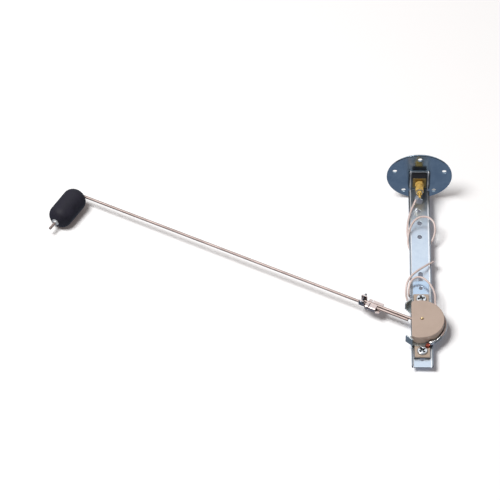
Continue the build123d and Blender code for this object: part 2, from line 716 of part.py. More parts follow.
def pivot_bush():
    """The flanged brass bearing pressed through the stop plate and the board."""
    bush = cyl_y(PIVOT_BUSH_FLANGE_R, BUSH_FLANGE_FRONT_Y, STOP_FRONT_Y, 0, PIVOT_Z)
    bush += cyl_y(PIVOT_BUSH_R, STOP_FRONT_Y, BOARD_BACK_Y, 0, PIVOT_Z)
    before = BUSH_FLANGE_FRONT_Y - PAST
    return bush - cyl_y(SHAFT_R + RUN_FIT, before, BOARD_BACK_Y + PAST, 0, PIVOT_Z)


def retainer_front():
    """Depth of the retainer's front face, just behind the bush."""
    return BOARD_BACK_Y + 2 * RUN_FIT


def pivot_shaft():
    """The brass shaft, domed where it shows in front of the cover."""
    front = COVER_FRONT_Y - SHAFT_NOSE
    shaft = cyl_y(SHAFT_R, front, retainer_front() + RETAINER_T, 0, PIVOT_Z)
    return fillet(shaft.edges().group_by(Axis.Y)[0], SHAFT_ROUND)


def shaft_retainer():
    """The retaining disc on the back end of the shaft."""
    front = retainer_front()
    back = front + RETAINER_T
    disc = cyl_y(RETAINER_R, front, back, 0, PIVOT_Z)
    return disc - cyl_y(SHAFT_R + SEAT_GAP / 2, front - PAST, back + PAST, 0, PIVOT_Z)


def wiper_hub():
    """The brass hub on the shaft, cross-drilled for the stub rod."""
    hub = cyl_y(HUB_R, HUB_SHOULDER_Y, HUB_BACK_Y) + cyl_y(HUB_BOSS_R, HUB_FRONT_Y, HUB_SHOULDER_Y)
    hub -= cyl_y(SHAFT_R + SEAT_GAP / 2, HUB_FRONT_Y - PAST, HUB_BACK_Y + PAST)
    hub -= rod_along(ROD_R + SEAT_GAP, HUB_R + PAST, SHAFT_R + STUD_FIT, 0)
    return to_arm(hub)


def rod_along(radius, far, near, offset):
    """A straight bar along the arm, drawn with the arm along -X."""
    centre = Pos(-(far + near) / 2, ARM_Y, offset)
    return centre * Rot(0, 90, 0) * Cylinder(radius, far - near)


def stub_rod():
    """The short rod fixed in the hub."""
    rod = rod_along(ROD_R, STUB_END, SHAFT_R + 2 * STUD_FIT, 0)
    return to_arm(chamfer(rod.edges().group_by(Axis.X)[0], ROD_CHAMFER))


def wiper_blade():
    """The spring blade: a ring on the hub's boss, an arm and a folded tip."""
    back = HUB_SHOULDER_Y
    front = back - WIPER_T
    contact_seat = CARD_R - WINDING_T - SEAT_GAP - CONTACT_REACH
    ring = cyl_y(HUB_R, front, back)
    arm = block(0, contact_seat, front, back, -WIPER_W / 2, WIPER_W / 2)
    tip = block(
        contact_seat - WIPER_T, contact_seat, front, front + WIPER_TAB, -WIPER_W / 2, WIPER_W / 2,
    )
    blade = ring + arm + tip
    return to_arm(blade - cyl_y(HUB_BOSS_R + SEAT_GAP, front - PAST, back + PAST))


def wiper_contact():
    """The contact button on the blade's folded tip."""
    seat = CARD_R - WINDING_T - SEAT_GAP - CONTACT_REACH
    middle_y = HUB_SHOULDER_Y - WIPER_T + WIPER_TAB - CONTACT_R - CONTACT_SET
    button = Pos(seat + CONTACT_REACH / 2, middle_y, 0) * Rot(0, 90, 0)
    button = button * Cylinder(CONTACT_R, CONTACT_REACH)
    return to_arm(fillet(button.edges().group_by(Axis.X)[-1], CONTACT_ROUND))


def ring_sector(inner_r, outer_r, half_angle, front, back):
    """A band of a cylinder round the pivot, centred on the side away from the arm."""
    ring = Circle(outer_r) - Circle(inner_r)
    reach = 2 * outer_r / cos(radians(half_angle))
    rise = reach * sin(radians(half_angle))
    run = reach * cos(radians(half_angle))
    wedge = make_face(Polyline((0, 0), (run, rise), (3 * reach, 0), (run, -rise), close=True))
    return face_y(ring & wedge, front, back - front, 0, PIVOT_Z)


def resistance_card():
    """The curved insulating card on which the resistance wire is wound."""
    back = STOP_FRONT_Y - SEAT_GAP
    return ring_sector(CARD_R, CARD_R + CARD_T, CARD_HALF_ANGLE, back - CARD_HEIGHT, back)


def resistance_winding():
    """The wire wound round the card, as one sleeve."""
    back = STOP_FRONT_Y - SEAT_GAP - WINDING_MARGIN
    front = STOP_FRONT_Y - SEAT_GAP - CARD_HEIGHT - WINDING_T
    sleeve = ring_sector(
        CARD_R - WINDING_T, CARD_R + CARD_T + WINDING_T, WINDING_HALF_ANGLE, front, back,
    )
    room = SEAT_GAP / 2
    core = ring_sector(
        CARD_R - room, CARD_R + CARD_T + room, CARD_HALF_ANGLE, front + WINDING_T - room, back + PAST,
    )
    return sleeve - core


def solder_terminal():
    """The copper terminal: a rivet in the board and a lug with a solder cup."""
    z = PIVOT_Z + TERMINAL_Z
    head_front = BOARD_FRONT_Y - TERMINAL_HEAD_T
    head = cyl_y(TERMINAL_HEAD_R, head_front, BOARD_FRONT_Y, TERMINAL_X, z)
    post = cyl_y(TERMINAL_POST_R, BOARD_FRONT_Y, BOARD_BACK_Y + TERMINAL_PROUD, TERMINAL_X, z)
    neck_front = CUP_Y - LUG_T / 2
    neck = cyl_y(TERMINAL_NECK_R, neck_front, head_front, TERMINAL_X, z)
    lug_end = LUG_LENGTH - CUP_LENGTH + CUP_LAP
    lug = Pos(lug_end / 2, 0, 0) * Box(lug_end, LUG_T, LUG_W)
    cup = Pos(LUG_LENGTH - CUP_LENGTH / 2, 0, 0) * Rot(0, 90, 0) * Cylinder(CUP_R, CUP_LENGTH)
    bore_length = CUP_LENGTH + 2 * STUD_FIT
    bore = Pos(LUG_LENGTH, 0, 0) * Rot(0, 90, 0) * Cylinder(WIRE_R + SEAT_GAP, bore_length)
    place = Pos(TERMINAL_X, CUP_Y, z) * Rot(0, -LUG_ANGLE, 0)
    return head + post + neck + place * (lug + cup) - place * bore


def rod_clip():
    """The folded sheet clip: a slit plate, two flaps round the float rod and two ears."""
    back_front = ARM_Y + ROD_R + CLIP_GAP
    middle = -ROD_PITCH / 2
    hug = ROD_PITCH / 2 + ROD_R + CLIP_GAP
    narrow = hug + CLIP_T
    top = middle + hug + CLIP_SIDE
    bottom = middle - hug - CLIP_DROP
    plate_back = back_front + CLIP_T
    clip = block(-CLIP_WIDE_END, -CLIP_START, back_front, plate_back, bottom, top)
    clip = fillet(clip.edges().filter_by(Axis.Y), CLIP_CORNER_R)
    clip += block(-CLIP_END, -CLIP_WIDE_END, back_front, plate_back, middle - narrow, middle + narrow)
    for side in (1, -1):
        near, far = sorted((middle + side * hug, middle + side * narrow))
        ear_front = plate_back - CLIP_EAR_HEIGHT
        ear = block(-CLIP_END, -CLIP_EAR_START, ear_front, plate_back, near, far)
        clip += fillet(ear.edges().filter_by(Axis.Z).group_by(Axis.Y)[0], CLIP_EAR_ROUND)
    flap_front = ARM_Y - ROD_R - CLIP_GAP - CLIP_T
    for flap_set, flap_length in CLIP_FLAP_SETS:
        near_x = -CLIP_START - flap_set
        far_x = near_x - flap_length
        flap = block(far_x, near_x, flap_front, plate_back, bottom, middle)
        flap = fillet(flap.edges().filter_by(Axis.X).group_by(Axis.Z)[0], CLIP_BRIDGE_R)
        room = block(
            far_x - PAST, near_x + PAST, flap_front + CLIP_T, back_front, bottom + CLIP_T, middle + PAST,
        )
        room = fillet(room.edges().filter_by(Axis.X).group_by(Axis.Z)[0], CLIP_BRIDGE_R - CLIP_T)
        clip += flap - room
        slit_x = far_x - CLIP_SLIT
        clip -= block(
            slit_x, far_x, back_front - PAST, plate_back + PAST, top - CLIP_SLIT_DEPTH, top + PAST,
        )
    return to_arm(clip - clip_screw_hole(middle))


def clip_screw_y():
    """Depth of the clip screw's axis, just in front of the rods."""
    return ARM_Y - ROD_R - CLIP_SCREW_R - SOFT_GAP


def clip_screw_hole(middle):
    """The holes for the clip screw in both ears."""
    hole = Cylinder(CLIP_SCREW_R + STUD_FIT, 2 * (clip_ear_outer() + PAST))
    return Pos(-CLIP_SCREW_AT, clip_screw_y(), middle) * hole


def clip_ear_outer():
    """Distance from the middle of the two rods to the outer face of a clip ear."""
    return ROD_PITCH / 2 + ROD_R + CLIP_GAP + CLIP_T


def clip_screw():
    """The screw across the clip's ears, with its head below the rods."""
    middle = -ROD_PITCH / 2
    outer = clip_ear_outer()
    head = cyl_z(CLIP_HEAD_R, middle - outer - CLIP_HEAD_T, middle - outer)
    head = fillet(head.edges().group_by(Axis.Z)[0], CLIP_HEAD_ROUND)
    tip = middle + outer + CLIP_NUT_T + CLIP_SCREW_END
    screw = head + cyl_z(CLIP_SCREW_R, middle - outer, tip)
    return to_arm(Pos(-CLIP_SCREW_AT, clip_screw_y(), 0) * screw)


def clip_nut():
    """The nut on the clip's upper ear."""
    nut = hex_nut(CLIP_NUT_AF, CLIP_NUT_T, CLIP_SCREW_R + SEAT_GAP)
    return to_arm(Pos(-CLIP_SCREW_AT, clip_screw_y(), -ROD_PITCH / 2 + clip_ear_outer()) * nut)


def bend_corner():
    """The corner of the float rod, drawn with the arm along -X."""
    return Vector(-BEND_AT, ARM_Y, -ROD_PITCH)


def float_direction():
    """The direction of the float's axis, away from the bend."""
    turn = radians(BEND_TURN)
    return Vector(-cos(turn), 0, -sin(turn))


def float_rod_path(start):
    """The float rod's centre line from a distance along the arm to its free tip."""
    tip_distance = FLOAT_CENTRE + FLOAT_LENGTH / 2 + ROD_BEYOND_FLOAT
    tip = bend_corner() + float_direction() * tip_distance
    return FilletPolyline(Vector(-start, ARM_Y, -ROD_PITCH), bend_corner(), tip, radius=BEND_R)


def float_rod():
    """The long rod, bent at its end to carry the float."""
    path = float_rod_path(FLOAT_ROD_START)
    section = Plane(origin=path @ 0, z_dir=path % 0) * Circle(ROD_R)
    return to_arm(sweep(section, path=path))


def float_frame():
    """The float's own frame: its centre, with Z along the axis towards the bend."""
    centre = bend_corner() + float_direction() * FLOAT_CENTRE
    return Plane(origin=centre, x_dir=(sin(radians(BEND_TURN)), 0, -cos(radians(BEND_TURN))),
                 z_dir=-float_direction())


def float_body():
    """The float: a round-ended cylinder, bored through, with a key slot for the rod."""
    body = Cylinder(FLOAT_R, FLOAT_LENGTH)
    body = fillet(body.edges().filter_by(GeomType.CIRCLE), FLOAT_END_R)
    bore_r = ROD_R + FLOAT_BORE_FIT
    body -= Cylinder(bore_r, FLOAT_LENGTH + 2 * PAST)
    body = float_frame() * body
    path = float_rod_path(BEND_AT - 2 * FLOAT_R)
    groove = sweep(Plane(origin=path @ 0, z_dir=path % 0) * Circle(bore_r), path=path)
    body -= groove
    corner = bend_corner()
    body -= block(
        corner.X, corner.X + 2 * FLOAT_R, ARM_Y - bore_r, ARM_Y + bore_r,
        corner.Z, corner.Z + FLOAT_R,
    )
    return to_arm(body)


def push_nut():
    """The domed push-on nut that keeps the float on the rod."""
    nut = Cylinder(PUSH_NUT_R, PUSH_NUT_T)
    dome = Cone(PUSH_NUT_TOP_R, PUSH_NUT_DOME_R, PUSH_NUT_DOME)
    nut += Pos(0, 0, -(PUSH_NUT_T + PUSH_NUT_DOME) / 2) * dome
    nut -= Cylinder(ROD_R + SEAT_GAP / 2, 4 * (PUSH_NUT_T + PUSH_NUT_DOME))
    seat = -FLOAT_LENGTH / 2 - SEAT_GAP - PUSH_NUT_T / 2
    return to_arm(float_frame() * Pos(0, 0, seat) * nut)


PIECES = {
    "flange_disc": flange_disc,
    "bracket_channel": bracket_channel,
    "insulating_bush": insulating_bush,
    "insulator_block": insulator_block,
    "contact_plate": contact_plate,
    "terminal_stud": terminal_stud,
    "stud_nuts": stud_nuts,
    "ring_nut": ring_nut,
    "stud_collar": stud_collar,
    "stud_washer": stud_washer,
    "ring_terminal": ring_terminal,
    "lead_wire": lead_wire,
    "clamp_strap": clamp_strap,
    "base_board": base_board,
    "stop_plate": stop_plate,
    "sensor_cover": sensor_cover,
    "clamp_screws": clamp_screws,
    "clamp_washers": clamp_washers,
    "clamp_nuts": clamp_nuts,
    "pivot_bush": pivot_bush,
    "resistance_card": resistance_card,
    "resistance_winding": resistance_winding,
    "solder_terminal": solder_terminal,
    "pivot_shaft": pivot_shaft,
    "shaft_retainer": shaft_retainer,
    "wiper_hub": wiper_hub,
    "wiper_blade": wiper_blade,
    "wiper_contact": wiper_contact,
    "stub_rod": stub_rod,
    "rod_clip": rod_clip,
    "clip_screw": clip_screw,
    "clip_nut": clip_nut,
    "float_rod": float_rod,
    "float_body": float_body,
    "push_nut": push_nut,
}


def arm_limits():
    """How far the arm turns up and down from rest before a rod meets a stop ear."""
    tangent = radians(EAR_ANGLE)
    end_x = EAR_X - EAR_LENGTH / 2 * cos(tangent)
    end_z = EAR_Z - EAR_LENGTH / 2 * sin(tangent)
    reach = hypot(end_x, end_z)
    ear_at = degrees(atan2(end_z, -end_x))
    above = degrees(asin((ROD_R + STOP_T / 2) / reach))
    below = degrees(asin((ROD_PITCH + ROD_R + STOP_T / 2) / reach))
    return ear_at - above - ARM_ANGLE, -(ear_at - below) - ARM_ANGLE


def main():
    """Write one STEP file for each node."""
    os.makedirs("parts", exist_ok=True)
    for name, make in PIECES.items():
        made = make()
        shape = Compound(children=made) if isinstance(made, list) else made
        export_step(shape, f"parts/{name}.step")
    print("arm limits from rest", [round(limit, 2) for limit in arm_limits()])
    slot_down = CLAMP_SCREW_ZS[1] - SCREW_R - SLOT_BOTTOM_Z
    slot_up = SLOT_TOP_Z - CLAMP_SCREW_ZS[0] - SCREW_R
    print("slide range from rest", round(-slot_down, 2), round(slot_up, 2))


main()
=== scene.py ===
"""Looks of a float-arm fuel level sender: its finishes, its small detail and its studio.

Everything is in metres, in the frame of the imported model: +Z points up out of the tank,
the flange's underside is at Z = 0 and the sensor's cover faces -Y.
"""
import logging
import math
from dataclasses import dataclass, field
from enum import Enum

import bpy
import bmesh
import numpy as np
from mathutils import Matrix, Vector


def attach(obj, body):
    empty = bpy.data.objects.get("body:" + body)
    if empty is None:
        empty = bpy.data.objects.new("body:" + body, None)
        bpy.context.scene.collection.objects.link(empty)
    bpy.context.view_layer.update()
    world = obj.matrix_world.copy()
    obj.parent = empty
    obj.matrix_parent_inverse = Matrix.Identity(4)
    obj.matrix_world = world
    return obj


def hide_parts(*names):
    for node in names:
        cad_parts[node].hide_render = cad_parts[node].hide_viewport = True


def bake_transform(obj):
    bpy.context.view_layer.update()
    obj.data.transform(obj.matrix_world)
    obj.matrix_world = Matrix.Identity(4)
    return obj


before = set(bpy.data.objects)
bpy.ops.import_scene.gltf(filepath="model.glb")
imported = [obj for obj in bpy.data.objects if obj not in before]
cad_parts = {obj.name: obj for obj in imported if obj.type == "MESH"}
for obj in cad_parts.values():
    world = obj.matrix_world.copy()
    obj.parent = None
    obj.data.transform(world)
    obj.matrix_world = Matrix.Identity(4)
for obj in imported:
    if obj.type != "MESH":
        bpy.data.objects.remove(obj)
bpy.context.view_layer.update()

MM = 0.001
FULL_TURN = 2 * math.pi
PIVOT_Z = -184.2  # height of the arm's pivot, in millimetres
FIXED_DIRECTION = (0.31, 0.52, 0.79)  # no path here runs along it

Piece = bpy.types.Object
Material = bpy.types.Material
Point = tuple[float, float, float]
Rgb = tuple[int, int, int]
Skin = tuple[np.ndarray, list[np.ndarray]]

log = logging.getLogger("sender")


class Body(Enum):
    """The moving bodies that pieces ride on."""

    MOUNTING = "mounting"
    SENSOR = "sensor_unit"
    ARM = "float_arm"
    ROD = "float_rod"


class Drive(Enum):
    """The recess in a screw's head."""

    CROSS = "cross"
    SLOT = "slot"


def colour(rgb: Rgb) -> tuple[float, float, float, float]:
    """Turn a display colour into the linear colour that a shader takes.

    Args:
        rgb: red, green and blue from 0 to 255, as they look on a screen.

    Returns:
        The linear colour with an alpha of 1.
    """
    share = np.array(rgb, float) / 255
    linear = np.where(share <= 0.04045, share / 12.92, ((share + 0.055) / 1.055) ** 2.4)
    return (*linear.tolist(), 1.0)


# Shader expressions


class Shade:
    """A shader socket that adds Math nodes when it is used in an expression."""

    def __init__(self, recipe: "Recipe", socket: bpy.types.NodeSocket) -> None:
        """Wrap a socket of a recipe's node tree.

        Args:
            recipe: the recipe whose tree the socket is in.
            socket: the output that later nodes read.
        """
        self.recipe = recipe
        self.socket = socket

    def _math(self, operation: str, *values: "Shade | float") -> "Shade":
        """Return the output of a new Math node with these inputs."""
        inputs = dict(enumerate(values))
        return self.recipe.shade("ShaderNodeMath", inputs, {"operation": operation})

    def __add__(self, other: "Shade | float") -> "Shade":
        """Return self + other."""
        return self._math("ADD", self, other)

    __radd__ = __add__

    def __sub__(self, other: "Shade | float") -> "Shade":
        """Return self - other."""
        return self._math("SUBTRACT", self, other)

    def __rsub__(self, other: float) -> "Shade":
        """Return other - self."""
        return self._math("SUBTRACT", other, self)

    def __mul__(self, other: "Shade | float") -> "Shade":
        """Return self * other."""
        return self._math("MULTIPLY", self, other)

    __rmul__ = __mul__

    def __pow__(self, other: float) -> "Shade":
        """Return self to the power of other."""
        return self._math("POWER", self, other)

    def size(self) -> "Shade":
        """The value without its sign."""
        return self._math("ABSOLUTE", self)

    def ease(self, low: float, high: float) -> "Shade":
        """Go smoothly from 0 at low to 1 at high."""
        inputs = {"Value": self, "From Min": low, "From Max": high}
        smooth = {"interpolation_type": "SMOOTHSTEP"}
        return self.recipe.shade("ShaderNodeMapRange", inputs, smooth)


class Recipe:
    """The node tree of a material or a world, with one method that adds any node."""

    def __init__(self, name: str, world: bool = False) -> None:
        """Start an empty material or world.

        Args:
            name: the name of the material or world.
            world: whether it is a world.
        """
        kind = bpy.data.worlds if world else bpy.data.materials
        self.output = "ShaderNodeOutputWorld" if world else "ShaderNodeOutputMaterial"
        self.owner = kind.new(name)
        self.owner.use_nodes = True
        self.tree = self.owner.node_tree
        self.tree.nodes.clear()

    def add(self, kind: str, inputs: dict, settings: dict) -> bpy.types.Node:
        """Add a node.

        Args:
            kind: the node's type name.
            inputs: sockets by name or number, each a number, colour, vector or Shade.
            settings: properties of the node, set first.

        Returns:
            The new node.
        """
        node = self.tree.nodes.new(kind)
        for key, value in settings.items():
            setattr(node, key, value)
        for key, value in inputs.items():
            if isinstance(value, Shade):
                self.tree.links.new(value.socket, node.inputs[key])
            else:
                node.inputs[key].default_value = value
        return node

    def shade(self, kind: str, inputs: dict | None = None, settings: dict | None = None,
              output: int | str = 0) -> Shade:
        """Add a node as add() does, and wrap the output with this name or number."""
        return Shade(self, self.add(kind, inputs or {}, settings or {}).outputs[output])

    def place(self, turn: Point = (0, 0, 0), stretch: Point = (1, 1, 1)) -> Shade:
        """Object coordinates, turned by angles in degrees and then stretched."""
        return self.shade("ShaderNodeMapping", {
            "Vector": self.shade("ShaderNodeTexCoord", output="Object"),
            "Rotation": tuple(math.radians(angle) for angle in turn),
            "Scale": stretch,
        })

    def noise(self, size_mm: float, place: Shade, detail: float = 3.0,
              harsh: float = 0.5) -> Shade:
        """Soft noise from about 0 to 1.

        Args:
            size_mm: about how wide its patches are.
            place: the coordinates that it is read at.
            detail: how many finer layers are added.
            harsh: how strong each finer layer is beside the last.

        Returns:
            The noise.
        """
        return self.shade("ShaderNodeTexNoise", {
            "Vector": place, "Scale": 1 / (size_mm * MM), "Detail": detail, "Roughness": harsh,
        })

    def pits(self, size_mm: float, place: Shade) -> Shade:
        """Distance to the nearest of many scattered points, 0 at each point."""
        inputs = {"Vector": place, "Scale": 1 / (size_mm * MM)}
        return self.shade("ShaderNodeTexVoronoi", inputs, output="Distance")

    def blend(self, first: "Shade | Rgb", second: "Shade | Rgb", share: "Shade | float") -> Shade:
        """Mix two colours, display colours among them, by a share."""
        ends = [end if isinstance(end, Shade) else colour(end) for end in (first, second)]
        inputs = {0: share, 6: ends[0], 7: ends[1]}
        return self.shade("ShaderNodeMix", inputs, {"data_type": "RGBA"}, 2)

    def bump(self, height: Shade, depth_mm: float, strength: float,
             normal: "Shade | None" = None) -> Shade:
        """Turn a height from 0 to 1 into a normal.

        Args:
            height: the relief.
            depth_mm: how deep the relief is.
            strength: how much of it shows.
            normal: the normal that it is laid on, the surface's own by default.

        Returns:
            The normal.
        """
        inputs = {"Height": height, "Distance": depth_mm * MM, "Strength": strength}
        if normal is not None:
            inputs["Normal"] = normal
        return self.shade("ShaderNodeBump", inputs)

    def soft_edges(self, radius_mm: float) -> Shade:
        """The surface's normal with its edges rounded to a radius."""
        return self.shade("ShaderNodeBevel", {"Radius": radius_mm * MM}, {"samples": 10})

    def nooks(self, reach_mm: float) -> Shade:
        """How open the surface is: 1 where nothing is near, and 0 deep in a gap."""
        inputs = {"Distance": reach_mm * MM}
        return self.shade("ShaderNodeAmbientOcclusion", inputs, {"samples": 16}, "AO")

    def part(self, vector: Shade, axis: str) -> Shade:
        """One part, X, Y or Z, of a vector."""
        return self.shade("ShaderNodeSeparateXYZ", {"Vector": vector}, output=axis)

    def facing(self) -> Shade:
        """The direction that the surface faces."""
        return self.shade("ShaderNodeNewGeometry", output="True Normal")

    def dot(self, first: Shade, second: "Shade | Point") -> Shade:
        """The dot product of two directions."""
        kind = {"operation": "DOT_PRODUCT"}
        return self.shade("ShaderNodeVectorMath", {0: first, 1: second}, kind, "Value")

    def edges(self, radius_mm: float) -> Shade:
        """Where the surface turns: 0 on flats, and up to 1 within a radius of an edge.

        The mask is 1 less the dot product of the true and the rounded normal, where the
        product is first eased from 0 at 0.8 to 1 at 0.985.
        """
        return 1 - self.dot(self.facing(), self.soft_edges(radius_mm)).ease(0.8, 0.985)

    def finish(self, inputs: dict) -> Material:
        """Close a material with one surface shader that takes these inputs."""
        return self.close(self.shade("ShaderNodeBsdfPrincipled", inputs))

    def close(self, surface: Shade) -> Material | bpy.types.World:
        """Close the recipe with the output that shows this surface, and return its owner."""
        self.add(self.output, {"Surface": surface}, {})
        return self.owner


# Finishes


@dataclass(frozen=True)
class PlatedSheet:
    """Plated sheet: clouded brightness, rolling lines, painted highlights and painted shade.

    A painted highlight lies on its cut edges, except on faces that face down, and painted
    shade darkens its corners, its gaps and its faces that face down. Where bend_mm is above
    0, the sheet is folded at that distance on both sides of X = 0: a painted highlight runs
    along each fold, and painted shade darkens the walls outside it.
    """

    name: str
    tone: Rgb
    cloud: Rgb
    roughness: float = 0.3
    cloud_mm: float = 9.0
    line_stretch: Point = (1.0, 1.0, 0.06)
    edge_mm: float = 0.5
    edge_highlight_share: float = 0.75
    # Colour of the painted highlight on cut edges and along folds.
    bright: Rgb = (250, 251, 253)
    # Colour of the painted shade in corners, gaps and on faces that face down.
    grime_and_shade: Rgb = (44, 50, 52)
    reach_mm: float = 4.0
    # How much painted shade darkens faces that face down.
    underside_shade: float = 0.75
    bend_mm: float = 0.0
    bend_from_mm: tuple[float, float] = (-0.9, -0.4)
    wall_from_mm: tuple[float, float] = (0.3, 0.6)
    # Strength of the painted highlight along each fold.
    fold_highlight_share: float = 0.9
    # How much painted shade darkens the walls outside the folds.
    painted_wall_shade: float = 0.6

    def material(self) -> Material:
        """Build the material."""
        recipe = Recipe(self.name)
        plain = recipe.place()
        clouds = recipe.noise(self.cloud_mm, plain, 4.0, 0.6).ease(0.3, 0.72)
        stains = recipe.noise(self.cloud_mm / 4, plain, 5.0, 0.7).ease(0.56, 0.78)
        lines = recipe.noise(0.35, recipe.place(stretch=self.line_stretch), 2.0)
        # Faces that face down: the edges' painted highlight is left off them and painted shade is
        # laid on them.
        below = recipe.part(recipe.facing(), "Z").ease(-0.2, -0.7)
        # Painted highlight on the cut edges.
        edge = recipe.edges(self.edge_mm) * self.edge_highlight_share * (1 - below)
        # Painted shade: ambient occlusion darkens corners and gaps, and faces that face down are
        # darkened more.
        bare = recipe.nooks(self.reach_mm).ease(0.2, 0.8) * (1 - below * self.underside_shade)
        if self.bend_mm:
            # Painted highlight along both folds, and painted shade on the walls outside them.
            side = recipe.part(plain, "X").size() * (1 / MM)
            fold_highlight = side.ease(*(self.bend_mm + start for start in self.bend_from_mm))
            wall = side.ease(*(self.bend_mm + start for start in self.wall_from_mm))
            edge = edge * (1 - fold_highlight) + fold_highlight * (1 - wall) * self.fold_highlight_share
            bare = bare * (1 - wall * self.painted_wall_shade)
        base = recipe.blend(self.tone, self.cloud, clouds * 0.8 + stains * 0.2)
        # The base colour darkened by the painted shade.
        base_with_painted_shade = recipe.blend(self.grime_and_shade, base, bare)
        height = lines * 0.6 + recipe.noise(0.6, plain, 3.0) * 0.4
        return recipe.finish({
            # The painted highlight on edges and folds lies over the painted shade, and is less
            # metallic.
            "Base Color": recipe.blend(base_with_painted_shade, self.bright, edge),
            "Metallic": 1 - edge * 0.7,
            "Roughness": self.roughness + clouds * 0.1 + lines * 0.08 + stains * 0.08,
            "Normal": recipe.bump(height, 0.012, 0.6, recipe.soft_edges(self.edge_mm)),
        })


@dataclass(frozen=True)
class TurnedMetal:
    """Bright small metal parts, turned or stamped, tarnished in patches and with painted shade in
    recesses.
    """

    name: str
    tone: Rgb
    tarnish: Rgb
    roughness: float = 0.24
    patch_mm: float = 2.4
    edge_mm: float = 0.15
    reach_mm: float = 1.6
    # Colour of the painted shade in recesses and between parts.
    dark: Rgb = (30, 32, 34)
    metallic: float = 1.0

    def material(self) -> Material:
        """Build the material."""
        recipe = Recipe(self.name)
        plain = recipe.place()
        patches = recipe.noise(self.patch_mm, plain, 4.0, 0.62).ease(0.42, 0.74)
        rings = recipe.noise(0.22, recipe.place(stretch=(0.25, 0.25, 1.0)), 2.0)
        grime_and_shade = recipe.noise(0.7, plain, 4.0, 0.7).ease(0.55, 0.8)
        # Painted shade: ambient occlusion darkens recesses and gaps between parts.
        bare = recipe.nooks(self.reach_mm).ease(0.35, 0.9)
        base = recipe.blend(self.tone, self.tarnish, patches * 0.55 + grime_and_shade * 0.35)
        return recipe.finish({
            "Base Color": recipe.blend(self.dark, base, bare),
            "Metallic": self.metallic,
            "Roughness": self.roughness + patches * 0.12 + grime_and_shade * 0.12 + rings * 0.06,
            "Normal": recipe.bump(rings, 0.008, 0.5, recipe.soft_edges(self.edge_mm)),
        })


@dataclass(frozen=True)
class DrawnRod:
    """Drawn steel rod: long fine lines along it, a dull bloom, a few dark specks and painted
    shade near other parts.

    The rod leans out of the level by lean degrees.
    """

    name: str
    tone: Rgb
    bloom: Rgb
    lean: float
    roughness: float = 0.32
    # Colour of the painted shade where other parts come close.
    painted_nook_shade: Rgb = (70, 58, 54)
    speck: Rgb = (112, 96, 88)
    metallic: float = 0.55
    reach_mm: float = 1.6

    def material(self) -> Material:
        """Build the material."""
        recipe = Recipe(self.name)
        turn = (0, -self.lean, 0)
        plain = recipe.place()
        lines = recipe.noise(0.3, recipe.place(turn, (0.02, 1, 1)), 3.0)
        bloom = recipe.noise(7.0, recipe.place(turn, (0.35, 1, 1)), 4.0)
        specks = 1 - recipe.pits(1.6, plain).ease(0.06, 0.16)
        # Painted shade: ambient occlusion darkens the rod where other parts come close.
        bare = recipe.nooks(self.reach_mm).ease(0.3, 0.85)
        shade = recipe.blend(self.tone, self.bloom, bloom.ease(0.35, 0.7) * 0.7 + lines * 0.2)
        speckled = recipe.blend(shade, self.speck, specks * 0.5)
        return recipe.finish({
            "Base Color": recipe.blend(self.painted_nook_shade, speckled, bare),
            "Metallic": self.metallic,
            "Roughness": self.roughness + lines * 0.12 + bloom * 0.08,
            "Normal": recipe.bump(lines, 0.01, 0.6),
        })


@dataclass(frozen=True)
class Moulding:
    """Moulded plastic or pressed board: a faint speckle, flow clouds, a fine grain and painted
    shade in gaps.
    """

    name: str
    tone: Rgb
    speckle: Rgb
    roughness: float = 0.5
    speckle_mm: float = 0.5
    grain_mm: float = 0.015
    edge_mm: float = 0.2
    coat: float = 0.0
    reach_mm: float = 3.0
    # Colour of the painted shade in gaps and corners.
    gap: Rgb = (48, 42, 36)

    def material(self) -> Material:
        """Build the material."""
        recipe = Recipe(self.name)
        plain = recipe.place()
        speckle = recipe.noise(self.speckle_mm, plain, 3.0, 0.65).ease(0.45, 0.75)
        clouds = recipe.noise(11.0, plain, 4.0, 0.55).ease(0.3, 0.75)
        grain = recipe.noise(0.3, plain, 4.0, 0.6)
        # Painted shade: ambient occlusion darkens gaps and corners.
        bare = recipe.nooks(self.reach_mm).ease(0.2, 0.75)
        base = recipe.blend(self.tone, self.speckle, speckle * 0.35 + clouds * 0.4)
        relief = recipe.bump(grain, self.grain_mm, 0.7, recipe.soft_edges(self.edge_mm))
        return recipe.finish({
            "Base Color": recipe.blend(self.gap, base, bare),
            "Roughness": self.roughness + grain * 0.14 - clouds * 0.08,
            "Normal": relief,
            "Coat Weight": self.coat,
            "Coat Roughness": 0.2,
        })


@dataclass(frozen=True)
class FloatSkin:
    """The float's skin: dark closed-cell rubber with fine pores, scuffs and fuel bloom."""

    name: str = "float_skin"
    tone: Rgb = (22, 20, 30)
    bloom: Rgb = (38, 36, 48)
    scuff: Rgb = (62, 62, 72)
    shine: float = 0.28

    def material(self) -> Material:
        """Build the material."""
        recipe = Recipe(self.name)
        plain = recipe.place()
        bloom = recipe.noise(8.0, plain, 5.0, 0.6).ease(0.35, 0.72)
        scuffs = recipe.noise(1.6, recipe.place(stretch=(1, 1, 0.3)), 5.0, 0.75).ease(0.62, 0.8)
        pores = recipe.pits(0.55, plain).ease(0.0, 0.45)
        grain = recipe.noise(0.5, plain, 3.0)
        base = recipe.blend(self.tone, self.bloom, bloom * 0.55 + grain * 0.2)
        return recipe.finish({
            "Base Color": recipe.blend(base, self.scuff, scuffs * 0.3),
            "Roughness": 0.54 + bloom * 0.14 + grain * 0.12,
            "Specular IOR Level": self.shine,
            "Normal": recipe.bump(pores * 0.75 + grain * 0.25, 0.05, 0.55),
        })


